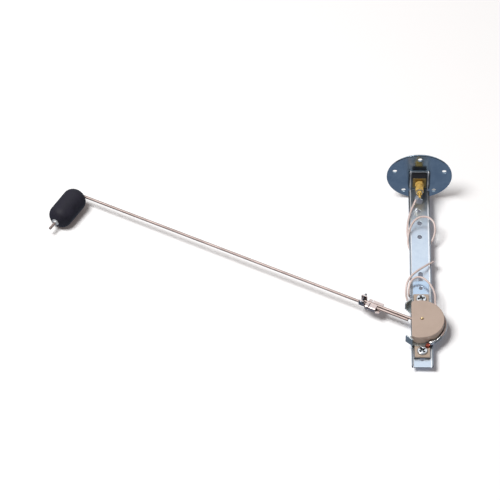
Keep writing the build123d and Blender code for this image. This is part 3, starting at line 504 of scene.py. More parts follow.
@dataclass(frozen=True)
class Insulation:
    """The lead's soft insulation: a waxy sheen, a little dirt and faint ripples."""

    name: str = "lead_insulation"
    tone: Rgb = (216, 198, 192)
    shade: Rgb = (192, 172, 165)
    grime_and_shade: Rgb = (148, 128, 120)
    coat: float = 0.25
    depth: float = 0.08
    depth_reach: Point = (0.001, 0.0006, 0.0005)

    def material(self) -> Material:
        """Build the material."""
        recipe = Recipe(self.name)
        plain = recipe.place()
        fade = recipe.noise(14.0, plain, 3.0).ease(0.3, 0.7)
        grime_and_shade = recipe.noise(1.8, plain, 5.0, 0.7).ease(0.58, 0.8)
        ripples = recipe.noise(0.8, plain, 2.0)
        base = recipe.blend(self.tone, self.shade, fade * 0.7)
        return recipe.finish({
            "Base Color": recipe.blend(base, self.grime_and_shade, grime_and_shade * 0.4),
            "Roughness": 0.38 + grime_and_shade * 0.2 + ripples * 0.1,
            "Coat Weight": self.coat,
            "Coat Roughness": 0.25,
            "Subsurface Weight": self.depth,
            "Subsurface Radius": self.depth_reach,
            "Normal": recipe.bump(ripples, 0.03, 0.5),
        })


Finish = PlatedSheet | TurnedMetal | DrawnRod | Moulding | FloatSkin | Insulation

# The flange's tone is darker and bluer than the other zinc: partly its own plating, partly a
# painted dark reflection. It has no painted highlight on its edges and no painted shade on faces
# that face down, but painted shade in its gaps.
FLANGE_ZINC = PlatedSheet(
    "flange_zinc", (146, 162, 174), (126, 144, 160), 0.1, 13.0, (0.06, 1.0, 1.0), 0.25,
    edge_highlight_share=0.0, underside_shade=0.0,
)
# The bracket: a painted highlight along both folds, painted shade on the walls beyond them.
BRACKET_ZINC = PlatedSheet("bracket_zinc", (220, 230, 240), (206, 217, 230), 0.24, bend_mm=9.3)
STRAP_ZINC = PlatedSheet("strap_zinc", (206, 224, 242), (190, 211, 234), 0.14, edge_mm=0.6)
STOP_ZINC = PlatedSheet(
    "stop_zinc", (186, 192, 192), (160, 168, 168), 0.22, reach_mm=0.8, underside_shade=0.2,
)
CLIP_ZINC = PlatedSheet(
    "clip_zinc", (226, 208, 202), (200, 184, 178), 0.3, 4.0,
    edge_highlight_share=0.4, reach_mm=2.0, underside_shade=0.4,
)
# The contact plate: a brass tone darkened as painted shade under the flange, a painted highlight
# on its edges and near-black painted shade in its gaps.
PLATE_BRASS = PlatedSheet(
    "plate_brass", (150, 128, 80), (116, 98, 60), 0.24, 4.0, bright=(250, 222, 158),
    grime_and_shade=(26, 20, 14), reach_mm=2.0, underside_shade=0.0,
)
# The screw heads' painted shade reaches far and darkens their cross recesses.
SCREW_ZINC = TurnedMetal(
    "screw_zinc", (240, 242, 244), (204, 208, 210), 0.2, reach_mm=2.6, dark=(52, 56, 58),
)
DARK_ZINC = TurnedMetal("dark_zinc", (140, 142, 148), (96, 98, 104), 0.3, reach_mm=1.0)
PUSH_STEEL = TurnedMetal(
    "push_steel", (190, 192, 194), (150, 152, 154), 0.4, reach_mm=0.6, metallic=0.4,
)
WASHER_STEEL = TurnedMetal("washer_steel", (206, 210, 212), (160, 162, 160), 0.28)
# The brass parts' painted shade darkens the gaps between the nuts.
BRASS = TurnedMetal(
    "brass", (255, 214, 122), (226, 160, 66), 0.2, 1.6,
    reach_mm=1.3, dark=(58, 36, 14), metallic=0.5,
)
PIN_BRASS = TurnedMetal("pin_brass", (226, 200, 150), (176, 142, 92), 0.24)
TERMINAL_TIN = TurnedMetal("terminal_tin", (240, 236, 232), (186, 178, 170), 0.24)
COPPER = TurnedMetal("copper", (196, 104, 86), (136, 62, 56), 0.26)
SOLDER = TurnedMetal("solder", (240, 238, 236), (188, 184, 182), 0.18)
BRONZE = TurnedMetal("spring_bronze", (206, 150, 92), (160, 108, 64), 0.28)
SILVER = TurnedMetal("contact_silver", (232, 232, 226), (170, 166, 160), 0.22)
RESISTANCE_WIRE = TurnedMetal("resistance_wire", (176, 160, 144), (120, 104, 92), 0.3, 1.0)
ROD_STEEL = DrawnRod("rod_steel", (162, 145, 139), (138, 122, 116), 25.6)
# The mouldings' gap colours, given here or by default, are painted shade in gaps and corners.
BLACK_MOULDING = Moulding("insulator_black", (12, 10, 15), (22, 20, 26), 0.42, 0.6, gap=(6, 6, 8))
BUSH_MOULDING = Moulding("bush_black", (28, 28, 32), (44, 43, 48), 0.45, 0.6, gap=(10, 10, 12))
BOARD_FIBRE = Moulding("board_tan", (176, 158, 142), (156, 138, 120), 0.55, 0.7)
COVER_MOULDING = Moulding("cover_tan", (182, 162, 148), (169, 149, 135), 0.5, 0.45, coat=0.1)
CARD_FIBRE = Moulding("card_brown", (128, 84, 54), (92, 58, 38), 0.6, 0.5)


# Meshes


def joined(name: str, data: bpy.types.ID) -> Piece:
    """Put a new object with this data in the scene, at the origin."""
    piece = bpy.data.objects.new(name, data)
    bpy.context.scene.collection.objects.link(piece)
    return piece


def build_mesh(name: str, vertices: np.ndarray, faces: list[np.ndarray],
               crease_deg: float = 34.0) -> Piece:
    """Make an object at the origin from whole arrays of vertices and faces.

    Args:
        name: the piece's name.
        vertices: positions in metres, one row each.
        faces: arrays of corner numbers, one array for each face size.
        crease_deg: edges sharper than this stay sharp in the shading.

    Returns:
        The linked object, with smooth shading and its faces turned outwards.
    """
    mesh = bpy.data.meshes.new(name)
    rows = [row for part in faces for row in part.tolist()]
    mesh.from_pydata(vertices.tolist(), [], rows)
    work = bmesh.new()
    work.from_mesh(mesh)
    bmesh.ops.recalc_face_normals(work, faces=work.faces)
    work.to_mesh(mesh)
    work.free()
    mesh.shade_smooth()
    mesh.set_sharp_from_angle(angle=math.radians(crease_deg))
    return joined(name, mesh)


def round_circle(count: int) -> np.ndarray:
    """Angles at even steps round a circle, from 0."""
    return np.linspace(0, FULL_TURN, count, endpoint=False)


def skin(points: np.ndarray) -> Skin:
    """Close a grid of rings into a solid skin.

    The rings are joined by quads between neighbours, each ring closes on itself, and the
    first and last rings are filled by a fan to their own middle.

    Args:
        points: an array of rings by points by three.

    Returns:
        The vertices and the arrays of faces.
    """
    rings, around = points.shape[:2]
    ends = np.stack([points[0].mean(axis=0), points[-1].mean(axis=0)])
    vertices = np.concatenate([points.reshape(-1, 3), ends])
    ring = np.arange(rings - 1)[:, None] * around
    here = np.arange(around)[None, :]
    after = (here + 1) % around
    corners = (ring + here, ring + after, ring + around + after, ring + around + here)
    quads = np.stack(corners, axis=-1).reshape(-1, 4)
    first = rings * around
    edge = np.arange(around)
    turned = (edge + 1) % around
    start = np.stack([np.full(around, first), turned, edge], axis=-1)
    last = (rings - 1) * around
    finish = np.stack([np.full(around, first + 1), last + edge, last + turned], axis=-1)
    return vertices, [quads, start, finish]


def merged(parts: list[Skin]) -> Skin:
    """Join several skins into one set of vertices and faces, each part kept separate."""
    counts = np.cumsum([0] + [len(vertices) for vertices, _ in parts])
    vertices = np.concatenate([vertices for vertices, _ in parts])
    faces = [part + shift for (_, group), shift in zip(parts, counts) for part in group]
    return vertices, faces


def frames_along(path: np.ndarray) -> tuple[np.ndarray, np.ndarray]:
    """Two directions across a path that turn as little as they can along it.

    Each point first takes a direction square to the path and to one fixed direction. The
    turn from each such direction to the next is measured, and its running sum is taken
    out again.

    Args:
        path: points in order.

    Returns:
        The two unit directions at each point.
    """
    tangents = np.gradient(path, axis=0)
    tangents /= np.linalg.norm(tangents, axis=1, keepdims=True)
    across = np.cross(tangents, np.array(FIXED_DIRECTION))
    across /= np.linalg.norm(across, axis=1, keepdims=True)
    second = np.cross(tangents, across)
    carried = across[:-1] - tangents[1:] * (across[:-1] * tangents[1:]).sum(1, keepdims=True)
    step = np.arctan2((carried * second[1:]).sum(1), (carried * across[1:]).sum(1))
    turn = np.concatenate([[0.0], np.cumsum(step)])[:, None]
    first = across * np.cos(turn) + second * np.sin(turn)
    return first, np.cross(tangents, first)


def tube(path: np.ndarray, radii: np.ndarray, around: int) -> Skin:
    """A round skin along a path: a circle of each point's radius square to the path."""
    first, second = frames_along(path)
    angle = round_circle(around)[None, :, None]
    circle = np.cos(angle) * first[:, None] + np.sin(angle) * second[:, None]
    return skin(path[:, None] + circle * radii[:, None, None])


def distances(path: np.ndarray) -> np.ndarray:
    """How far along a path each of its points is, from 0 at the first."""
    return np.concatenate([[0.0], np.cumsum(np.linalg.norm(np.diff(path, axis=0), axis=1))])


def spline_path(points: np.ndarray, per_point: int) -> np.ndarray:
    """Read the smooth line of a NURBS spline with these control points.

    Args:
        points: control points in metres, one row each.
        per_point: steps of the line for each control point.

    Returns:
        The points along the line, in order.
    """
    curve = bpy.data.curves.new("route", "CURVE")
    curve.dimensions = "3D"
    spline = curve.splines.new("NURBS")
    spline.points.add(len(points) - 1)
    spline.points.foreach_set("co", np.c_[points, np.ones(len(points))].ravel())
    spline.order_u = 3
    spline.use_endpoint_u = True
    spline.resolution_u = per_point
    holder = bpy.data.objects.new("route", curve)
    line = bpy.data.meshes.new_from_object(holder)
    path = np.zeros(len(line.vertices) * 3)
    line.vertices.foreach_get("co", path)
    bpy.data.objects.remove(holder)
    bpy.data.meshes.remove(line)
    bpy.data.curves.remove(curve)
    return path.reshape(-1, 3)


def around_axis(radius: np.ndarray, height: np.ndarray, angle: np.ndarray) -> np.ndarray:
    """Points about the Z axis from radii, heights and angles that spread over each other."""
    return np.stack([radius * np.cos(angle), radius * np.sin(angle), height + 0 * angle], -1)


@dataclass
class Thread:
    """A screw thread, drawn along Z."""

    radius: float
    pitch: float
    start: float
    end: float
    chamfer: float
    depth_share: float = 0.55
    root_share: float = 1.3
    around: int = 40
    per_turn: int = 8

    def rings(self) -> np.ndarray:
        """The thread's surface in millimetres.

        The radius at an angle and a height is the outer radius less the thread's depth
        times a triangle wave of (height / pitch - angle / full turn). The wave is made
        taller by the root share and cut off at 1, which leaves a flat root. Both ends
        are drawn in by a cone as long as the chamfer.

        Returns:
            An array of rings by points by three.
        """
        count = int((self.end - self.start) / self.pitch * self.per_turn) + 1
        height = np.linspace(self.start, self.end, count)[:, None]
        angle = round_circle(self.around)[None, :]
        phase = (height / self.pitch - angle / FULL_TURN) % 1.0
        wave = np.clip(np.abs(2 * phase - 1) * self.root_share, 0, 1)
        radius = self.radius - self.pitch * self.depth_share * wave
        inset = np.minimum(height - self.start, self.end - height)
        limit = self.radius - np.clip(self.chamfer - inset, 0, None)
        radius = np.minimum(radius, limit)
        return around_axis(radius, height, angle)


@dataclass
class Head:
    """A domed screw head with a recess, drawn with its seat on Z = 0 and its top up."""

    radius: float
    height: float
    rounding: float
    drive: Drive
    recess_radius: float
    recess_depth: float
    arm_width: float
    turn_deg: float
    around: int = 96
    shoulder_rings: int = 8
    top_rings: int = 44
    crown_share: float = 0.12
    taper_share: float = 0.5
    end_share: float = 0.45

    def rings(self) -> np.ndarray:
        """The head's surface in millimetres.

        The outline goes up the side and over a rounded shoulder to a shallow dome. On the
        dome, the height drops by the recess depth where a point lies within the arms of
        the drive, with walls that slope in.

        Returns:
            An array of rings by points by three.
        """
        shoulder = np.linspace(0, math.pi / 2, self.shoulder_rings)
        side_r = self.radius - self.rounding + self.rounding * np.cos(shoulder)
        side_z = self.height - self.rounding + self.rounding * np.sin(shoulder)
        flat = np.linspace(self.radius - self.rounding, 0.02, self.top_rings)
        outline_r = np.concatenate([[self.radius], side_r, flat[1:]])
        outline_z = np.concatenate([[0.0], side_z, np.full(len(flat) - 1, self.height)])
        crown = self.crown_share * self.height * (1 - (outline_r / self.radius) ** 2)
        outline_z = np.where(outline_z > 0, outline_z - crown.max() + crown, outline_z)
        angle = round_circle(self.around)[None, :]
        reach = outline_r[:, None]
        x = reach * np.cos(angle)
        y = reach * np.sin(angle)
        turn = math.radians(self.turn_deg)
        along = x * math.cos(turn) + y * math.sin(turn)
        beside = y * math.cos(turn) - x * math.sin(turn)
        first = self._arm(along, beside)
        cut = first if self.drive is Drive.SLOT else np.maximum(first, self._arm(beside, along))
        height = outline_z[:, None] - self.recess_depth * cut
        return np.stack([x, y, height], axis=-1)

    def _arm(self, along: np.ndarray, beside: np.ndarray) -> np.ndarray:
        """How deep a point lies in one arm of the drive, from 0 at its rim to 1."""
        taper = self.arm_width * self.taper_share
        slope = self.recess_radius * self.end_share
        width = np.clip((self.arm_width / 2 + taper / 2 - np.abs(beside)) / taper, 0, 1)
        end = np.clip((self.recess_radius - np.abs(along)) / slope, 0, 1)
        return np.minimum(width, end)


def stood(part: Thread | Head, axis: Point, across: Point, origin: Point) -> Skin:
    """Stand a thread or a head, drawn about the Z axis, on another axis.

    Args:
        part: the thread or head.
        axis: the new direction of Z.
        across: the new direction of X, square to the axis.
        origin: where Z = 0 on the axis comes, in millimetres.

    Returns:
        Its skin, in metres.
    """
    along = np.array(axis) / np.linalg.norm(axis)
    side = np.array(across) / np.linalg.norm(across)
    turned = part.rings() @ np.stack([side, np.cross(along, side), along])
    return skin((turned + np.array(origin)) * MM)


# Dressing


MADE: dict[str, Material] = {}


def made(finish: Finish) -> Material:
    """The material of a finish, built once."""
    if finish.name not in MADE:
        MADE[finish.name] = finish.material()
    return MADE[finish.name]


def material_on(piece: Piece, material: Material) -> None:
    """Give a piece one material in every slot it has."""
    if not piece.material_slots:
        piece.data.materials.append(material)
    for slot in piece.material_slots:
        slot.material = material


def dress_nodes(finishes: dict[str, Finish]) -> None:
    """Give carried-over nodes their materials, by node name."""
    for name, finish in finishes.items():
        material_on(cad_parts[name], made(finish))
        log.info("dressed %s in %s", name, finish.name)


def settle(piece: Piece, body: Body, finish: Finish,
           node: str | None = None) -> Piece:
    """Dress a new piece, put it on its body and let it stand for a node.

    Args:
        piece: the new piece.
        body: the body that it rides on.
        finish: the finish that it takes.
        node: the node that it replaces, if it replaces one.

    Returns:
        The piece.
    """
    material_on(piece, made(finish))
    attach(piece, body.value)
    if node:
        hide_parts(node)
    log.info("built %s", piece.name)
    return piece


# Sub-assemblies


@dataclass
class Mounting:
    """The flange, the folded bracket and what is threaded on the stud, in millimetres."""

    neck: Thread = field(default_factory=lambda: Thread(1.5, 0.5, -27.6, -20.0, 0.4))
    stud: Thread = field(default_factory=lambda: Thread(2.4, 0.8, -19.95, 13.0, 0.3))
    point_radius: float = 2.1
    point_top: float = 17.1
    point_chamfer: float = 0.5
    point_lead: float = 0.6

    def dress(self) -> None:
        """Give the carried-over nodes their finishes."""
        dress_nodes({
            "flange_disc": FLANGE_ZINC, "bracket_channel": BRACKET_ZINC,
            "insulating_bush": BUSH_MOULDING, "insulator_block": BLACK_MOULDING,
            "contact_plate": PLATE_BRASS, "stud_nuts": BRASS, "stud_collar": BRASS,
            "ring_nut": BRASS, "stud_washer": WASHER_STEEL, "ring_terminal": TERMINAL_TIN,
        })

    def threaded_stud(self) -> Piece:
        """The stud: a thin thread, the main thread and a plain point with a chamfered end."""
        angle = round_circle(self.stud.around)[None, :]
        base, top = self.stud.end + self.point_lead, self.point_top
        heights = np.array([base, top - self.point_chamfer, top])[:, None]
        radii = np.array([0, 0, -self.point_chamfer])[:, None] + self.point_radius
        point = around_axis(radii, heights, angle)
        rings = np.concatenate([self.neck.rings(), self.stud.rings(), point])
        piece = build_mesh("stud_threaded", *skin(rings * MM))
        return settle(piece, Body.MOUNTING, BRASS, "terminal_stud")


@dataclass
class LeadWire:
    """The insulated lead between the ring terminal and the sensor's solder cup.

    The diameter, the length and the exit are in metres, the rest in millimetres.
    """

    diameter: float = 2.2 * MM
    length: float = 0.427
    exit: Point = (-0.00295, 0.01101, -0.0204)
    steps_per_point: int = 9
    around: int = 14
    bare_length: float = 12.0
    strand_count: int = 3
    strand_radius: float = 0.36
    strand_spread: float = 1.15
    strand_lay: float = 3.4
    strand_rings: int = 70
    strand_around: int = 8
    route_mm: tuple[Point, ...] = (
        (-2.174, 8.114, -20.4), (-3.313, 12.364, -20.4), (-5.0, 14.4, -23.6), (-7.4, 14.7, -29.6),
        (-9.6, 14.9, -36.6), (-11.3, 15.2, -44.0), (-12.5, 15.8, -51.6), (-12.9, 17.2, -59.4),
        (-12.4, 20.2, -66.8), (-8.8, 24.2, -73.6), (-1.6, 25.7, -77.0), (6.2, 25.2, -75.6),
        (11.8, 22.6, -70.8), (14.6, 19.0, -65.4), (16.2, 15.2, -59.2), (15.2, 12.2, -52.4),
        (11.6, 10.6, -47.6), (6.8, 10.0, -45.4), (1.4, 9.9, -45.6), (-3.4, 10.5, -48.0),
        (-7.4, 11.6, -52.4), (-10.2, 13.6, -58.6), (-12.3, 16.6, -66.4), (-12.4, 20.6, -74.6),
        (-8.2, 24.6, -82.8), (-1.2, 25.8, -88.6), (6.0, 25.2, -92.8), (11.2, 23.0, -95.6),
        (14.2, 19.8, -97.4), (13.4, 16.8, -100.2), (8.2, 14.2, -105.4), (2.8, 12.6, -110.6),
        (-2.6, 12.2, -115.2), (-7.6, 12.2, -119.9), (-11.5, 12.7, -124.9), (-14.2, 13.8, -130.3),
        (-15.4, 16.0, -136.2), (-15.5, 19.6, -142.6), (-12.9, 24.2, -149.8), (-5.2, 27.4, -155.4),
        (3.0, 28.0, -153.6), (5.6, 27.6, -146.2), (0.6, 27.2, -139.6), (-6.0, 26.2, -139.4),
        (-10.6, 23.6, -141.4), (-12.6, 19.6, -142.6), (-12.8, 15.9, -140.4),
        (-12.3, 13.2, -135.9), (-11.0, 12.1, -131.4), (-8.8, 11.5, -128.0), (-4.4, 11.1, -125.0),
        (0.6, 11.1, -125.2), (5.2, 11.1, -128.8), (9.2, 11.2, -134.0), (12.4, 11.5, -140.6),
        (14.4, 12.1, -148.6), (14.0, 13.0, -157.2), (15.5, 13.3, -164.2), (21.1, 13.5, -170.8),
        (24.2, 13.55, -178.8), (24.6, 13.55, -187.6), (21.6, 13.4, -196.8),
        (15.916, 13.05, -205.229), (9.979, 13.05, -208.938),
    )

    def build(self) -> Piece:
        """The lead's insulation, a tube that follows the route's spline and ends bare."""
        path = spline_path(np.array(self.route_mm) * MM, self.steps_per_point)
        along = distances(path)
        covered = path[along < along[-1] - self.bare_length * MM]
        radii = np.full(len(covered), self.diameter / 2)
        piece = build_mesh("lead_insulation", *tube(covered, radii, self.around), crease_deg=60.0)
        self.strands(path[len(covered) - 4:])
        material_on(piece, made(Insulation()))
        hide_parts("lead_wire")
        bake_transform(piece)
        return piece

    def strands(self, path: np.ndarray) -> Piece:
        """Three bare strands twisted round the end of the lead.

        Each strand's middle is the path's point, moved across the path by the strand's
        radius times the spread, at an angle that grows by a full turn for each lay length.

        Args:
            path: the points from just inside the insulation to the lead's end, in metres.

        Returns:
            The strands.
        """
        step = distances(path)
        fine = np.linspace(0, step[-1], self.strand_rings)
        line = np.stack([np.interp(fine, step, path[:, axis]) for axis in range(3)], axis=-1)
        first, second = frames_along(line)
        radius = self.strand_radius * MM
        parts = []
        for start in round_circle(self.strand_count):
            angle = (start + fine / (self.strand_lay * MM) * FULL_TURN)[:, None]
            across = first * np.cos(angle) + second * np.sin(angle)
            middle = line + self.strand_spread * radius * across
            parts.append(tube(middle, np.full(len(fine), radius), self.strand_around))
        piece = build_mesh("lead_strands", *merged(parts), crease_deg=70.0)
        return settle(piece, Body.SENSOR, SOLDER)


@dataclass
class SensorUnit:
    """The strap, board, stop plate and cover, with their screws and the winding.

    All lengths are in millimetres.
    """

    screw_heights: tuple[float, float] = (-150.7, -217.7)
    screw_turns: tuple[float, float] = (12.0, 38.0)
    seat_y: float = 15.95
    tip_y: float = 25.45
    shank: float = 2.0
    card_radius: float = 19.1
    card_half_deg: float = 52.5
    card_back_y: float = 14.0
    card_front_y: float = 7.5
    card_half_t: float = 0.5
    wire_radius: float = 0.14
    turns: int = 74
    steps_per_turn: int = 26
    corner_power: float = 0.32
    solder_reach: tuple[float, ...] = (1.4, 2.2, 3.0, 3.9, 4.8, 5.6, 6.4, 7.2, 7.8)
    solder_radii: tuple[float, ...] = (0.5, 1.5, 2.0, 2.25, 2.3, 2.15, 1.8, 1.45, 0.9)
    solder_rings: int = 22
    solder_around: int = 28
    lug_deg: float = 32.0
    lug_foot: Point = (5.4, 12.6, -211.8)

    def dress(self) -> None:
        """Give the carried-over nodes their finishes."""
        dress_nodes({
            "clamp_strap": STRAP_ZINC, "base_board": BOARD_FIBRE, "stop_plate": STOP_ZINC,
            "sensor_cover": COVER_MOULDING, "clamp_washers": WASHER_STEEL,
            "clamp_nuts": SCREW_ZINC, "pivot_bush": BRASS, "resistance_card": CARD_FIBRE,
            "solder_terminal": COPPER,
        })

    def screws(self) -> Piece:
        """Both clamp screws: a cross-recessed head in front and a thread behind."""
        parts = []
        for height, turn in zip(self.screw_heights, self.screw_turns):
            head = Head(5.3, 2.6, 1.3, Drive.CROSS, 3.9, 2.3, 1.7, turn)
            seat = (0, self.seat_y, height)
            parts.append(stood(head, (0, -1, 0), (1, 0, 0), seat))
            thread = Thread(self.shank, 0.7, 0.02, self.tip_y - self.seat_y, 0.4)
            parts.append(stood(thread, (0, 1, 0), (1, 0, 0), seat))
        piece = build_mesh("clamp_screws_detailed", *merged(parts))
        return settle(piece, Body.SENSOR, SCREW_ZINC, "clamp_screws")

    def winding(self) -> Piece:
        """The resistance wire wound round the card.

        The wire's middle goes round the card's section while it moves along the card's
        arc at an even rate. The section is a rounded oblong: the sine and the cosine of
        the angle, each raised to the corner power with its sign kept.

        Returns:
            The winding.
        """
        count = self.turns * self.steps_per_turn
        phase = np.linspace(0, FULL_TURN * self.turns, count)
        arc = np.radians(np.linspace(-self.card_half_deg, self.card_half_deg, count))
        waves = np.stack([np.cos(phase), np.sin(phase)])
        cosine, sine = np.sign(waves) * np.abs(waves) ** self.corner_power
        reach = self.card_radius + (self.card_half_t + self.wire_radius) * cosine
        middle = (self.card_back_y + self.card_front_y) / 2
        half = (self.card_back_y - self.card_front_y) / 2
        depth = middle + half * sine
        path = np.stack([reach * np.cos(arc), depth, PIVOT_Z + reach * np.sin(arc)], axis=-1)
        radii = np.full(count, self.wire_radius * MM)
        piece = build_mesh("resistance_turns", *tube(path * MM, radii, 6), crease_deg=70.0)
        return settle(
            piece, Body.SENSOR, RESISTANCE_WIRE, "resistance_winding",
        )

    def solder(self) -> Piece:
        """The blob of solder over the terminal's cup.

        Rings stand along the lug. The radius at an angle t round a ring is the ring's
        own radius times 1 + 0.06 sin(3 t + 0.9 n) + 0.05 cos(2 t - 1.3 n), where n is
        0.4 times the ring's number.

        Returns:
            The blob.
        """
        lean = math.radians(self.lug_deg)
        along = np.array([math.cos(lean), 0, math.sin(lean)])
        over = np.array([-math.sin(lean), 0, math.cos(lean)])
        reach = np.linspace(self.solder_reach[0], self.solder_reach[-1], self.solder_rings)
        radii = np.interp(reach, self.solder_reach, self.solder_radii)[:, None]
        angle = round_circle(self.solder_around)[None, :]
        number = 0.4 * np.arange(len(reach))[:, None]
        ridges = 0.06 * np.sin(3 * angle + 0.9 * number)
        lumps = 1 + ridges + 0.05 * np.cos(2 * angle - 1.3 * number)
        across = radii * lumps * np.sin(angle)
        front = -radii * lumps * np.cos(angle)
        rings = np.array(self.lug_foot) + along * reach[:, None, None] + over * across[..., None]
        rings = rings + np.array([0, 1, 0]) * front[..., None]
        piece = build_mesh("solder_blob", *skin(rings * MM), crease_deg=80.0)
        return settle(piece, Body.SENSOR, SOLDER)


@dataclass
class FloatArm:
    """The shaft, hub, wiper and stub rod, with the clip that holds the float rod.

    All lengths are in millimetres.
    """

    lean_deg: float = ROD_STEEL.lean
    screw_along: float = 66.0
    screw_y: float = 8.73
    screw_foot: float = -5.45
    screw_top: float = 6.6
    shank: float = 1.1

    def dress(self) -> None:
        """Give the carried-over nodes their finishes."""
        dress_nodes({
            "pivot_shaft": PIN_BRASS, "shaft_retainer": WASHER_STEEL, "wiper_hub": BRASS,
            "wiper_blade": BRONZE, "wiper_contact": SILVER, "stub_rod": ROD_STEEL,
            "rod_clip": CLIP_ZINC, "clip_nut": PUSH_STEEL,
        })

    def clip_screw(self) -> Piece:
        """The clip's screw: a slotted head below the rods and a thread above."""
        lean = math.radians(self.lean_deg)
        outward = np.array([-math.cos(lean), 0, math.sin(lean)])
        upward = np.array([math.sin(lean), 0, math.cos(lean)])
        foot = outward * self.screw_along + upward * self.screw_foot
        foot = foot + np.array([0, self.screw_y, PIVOT_Z])
        head = Head(2.7, 1.9, 1.1, Drive.SLOT, 3.2, 0.8, 0.7, 30.0)
        thread = Thread(self.shank, 0.45, 0.02, self.screw_top - self.screw_foot, 0.3)
        side = (0, 1, 0)
        parts = [stood(head, -upward, side, foot), stood(thread, upward, side, foot)]
        piece = build_mesh("clip_screw_detailed", *merged(parts))
        return settle(piece, Body.ARM, DARK_ZINC, "clip_screw")


@dataclass
class FloatRod:
    """The long rod with the float and its push-on nut."""

    def dress(self) -> None:
        """Give the carried-over nodes their finishes."""
        dress_nodes({"float_rod": ROD_STEEL, "push_nut": PUSH_STEEL, "float_body": FloatSkin()})


# Studio


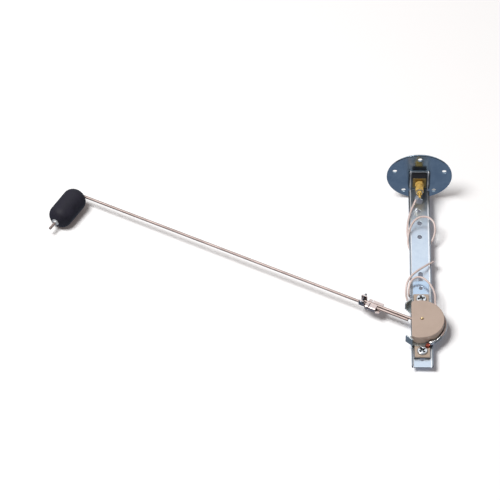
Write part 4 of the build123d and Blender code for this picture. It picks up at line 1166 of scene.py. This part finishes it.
@dataclass
class Studio:
    """The camera, the pale backdrop that the sender lies on, and the soft light.

    Lengths are in metres. The camera stands back from the origin against its view, and
    is moved sideways by aside and upwards by below in its own frame.
    """

    tilt_deg: float = 39.0
    roll_deg: float = 0.43
    distance: float = 5.0
    focal_px: float = 4792.8
    frame_px: float = 500.0
    aside: float = -0.17664
    below: float = -0.0763
    sensor_mm: float = 36.0
    backdrop_at: float = 0.0349
    backdrop_slope: tuple[float, float] = (0.0251, 0.0342)
    backdrop_reach: float = 1.6
    paper_white: Point = (0.98, 0.98, 0.98)
    paper_glow: Point = (0.03, 0.022, 0.02)
    paper_mirrored: Point = (0.30, 0.36, 0.47)
    key_direction: Point = (0.38, 1.0, 0.14)
    key_distance: float = 3.0
    key_size: float = 1.25
    key_power: float = 93.0
    fill: Point = (0.2, 0.185, 0.18)
    bright_side: Point = (0.1, -0.78, 0.62)
    bright_from: tuple[float, float] = (0.15, 0.8)
    room_dark: Rgb = (54, 52, 54)
    room_bright: Rgb = (244, 249, 255)

    def camera(self) -> None:
        """Set the camera by the fit to the photograph."""
        tilt = math.radians(self.tilt_deg)
        roll = math.radians(self.roll_deg)
        view = Vector((0, math.cos(tilt), math.sin(tilt)))
        level = Vector((1, 0, 0))
        upright = Vector((0, -math.sin(tilt), math.cos(tilt)))
        right = level * math.cos(roll) + upright * math.sin(roll)
        top = upright * math.cos(roll) - level * math.sin(roll)
        place = -view * self.distance + right * self.aside + top * self.below
        data = bpy.data.cameras.new("camera")
        data.sensor_width = self.sensor_mm
        data.lens = self.focal_px / self.frame_px * self.sensor_mm
        camera = joined("camera", data)
        axes = Matrix((right, top, -view)).transposed().to_4x4()
        camera.matrix_world = Matrix.Translation(place) @ axes
        bpy.context.scene.camera = camera

    def backdrop(self) -> None:
        """The pale sheet behind the sender, seen from the front only."""
        reach = self.backdrop_reach
        across, up = self.backdrop_slope
        corners = np.array([(-reach, -reach), (reach, -reach), (reach, reach), (-reach, reach)])
        depth = self.backdrop_at + corners @ np.array([across, up])
        vertices = np.stack([corners[:, 0], depth, corners[:, 1]], axis=-1)
        mesh = bpy.data.meshes.new("backdrop")
        mesh.from_pydata(vertices.tolist(), [], [(0, 1, 2, 3)])
        mesh.materials.append(self.paper())
        joined("backdrop", mesh)

    def paper(self) -> Material:
        """White paper that keeps a warm soft shadow and can't be seen from behind.

        The camera sees lit paper with a faint warm glow, which lifts the darkest shadows
        a little. Polished metal sees an even blue grey in its place.

        Returns:
            The material.
        """
        recipe = Recipe("paper")
        seen = recipe.shade("ShaderNodeLightPath", output="Is Camera Ray")
        polish = recipe.shade("ShaderNodeLightPath", output="Is Glossy Ray")
        behind = recipe.shade("ShaderNodeNewGeometry", output="Backfacing")
        matt = recipe.shade("ShaderNodeBsdfDiffuse", {"Color": (*self.paper_white, 1)})
        tint = {"Color": (*self.paper_glow, 1), "Strength": seen}
        glow = recipe.shade("ShaderNodeEmission", tint)
        lit = recipe.shade("ShaderNodeAddShader", {0: matt, 1: glow})
        mirrored = recipe.shade("ShaderNodeEmission", {"Color": (*self.paper_mirrored, 1)})
        clear = recipe.shade("ShaderNodeBsdfTransparent")
        front = recipe.shade("ShaderNodeMixShader", {0: polish, 1: lit, 2: mirrored})
        return recipe.close(recipe.shade("ShaderNodeMixShader", {0: behind, 1: front, 2: clear}))

    def key(self) -> None:
        """One soft key light, from the left of the camera and above it in the picture."""
        data = bpy.data.lights.new("key", "AREA")
        data.shape = "DISK"
        data.size = self.key_size
        data.energy = self.key_power
        lamp = joined("key", data)
        direction = Vector(self.key_direction).normalized()
        target = Vector((self.aside, 0, self.below))
        lamp.location = target - direction * self.key_distance
        lamp.rotation_mode = "QUATERNION"
        lamp.rotation_quaternion = direction.to_track_quat("-Z", "Y")

    def world(self) -> None:
        """Surroundings: white to the camera, an even fill, and a room for polished metal.

        The room's brightness follows the dot product of a ray's direction with the
        bright side, up and in front of the sender: it eases between the two values of
        bright_from, from dark to bright.
        """
        recipe = Recipe("studio", world=True)
        seen = recipe.shade("ShaderNodeLightPath", output="Is Camera Ray")
        polish = recipe.shade("ShaderNodeLightPath", output="Is Glossy Ray")
        ray = recipe.shade("ShaderNodeTexCoord", output="Generated")
        side = tuple(Vector(self.bright_side).normalized())
        share = recipe.dot(ray, side).ease(*self.bright_from)
        tone = recipe.blend(self.room_dark, self.room_bright, share)
        fill = recipe.shade("ShaderNodeBackground", {"Color": (*self.fill, 1)})
        room = recipe.shade("ShaderNodeBackground", {"Color": tone})
        white = recipe.shade("ShaderNodeBackground", {"Color": (1, 1, 1, 1)})
        around = recipe.shade("ShaderNodeMixShader", {0: polish, 1: fill, 2: room})
        mixed = recipe.shade("ShaderNodeMixShader", {0: seen, 1: around, 2: white})
        bpy.context.scene.world = recipe.close(mixed)


def main() -> None:
    """Build the studio and the sub-assemblies in order."""
    logging.basicConfig(level=logging.INFO, format="%(name)s: %(message)s")
    bpy.context.scene.view_settings.view_transform = "Standard"
    studio = Studio()
    studio.camera()
    studio.backdrop()
    studio.key()
    studio.world()
    lead = LeadWire().build()
    log.info("built %s", lead.name)
    mounting = Mounting()
    mounting.dress()
    mounting.threaded_stud()
    sensor = SensorUnit()
    sensor.dress()
    sensor.screws()
    sensor.winding()
    sensor.solder()
    arm = FloatArm()
    arm.dress()
    arm.clip_screw()
    FloatRod().dress()


if __name__ == "__main__":
    main()
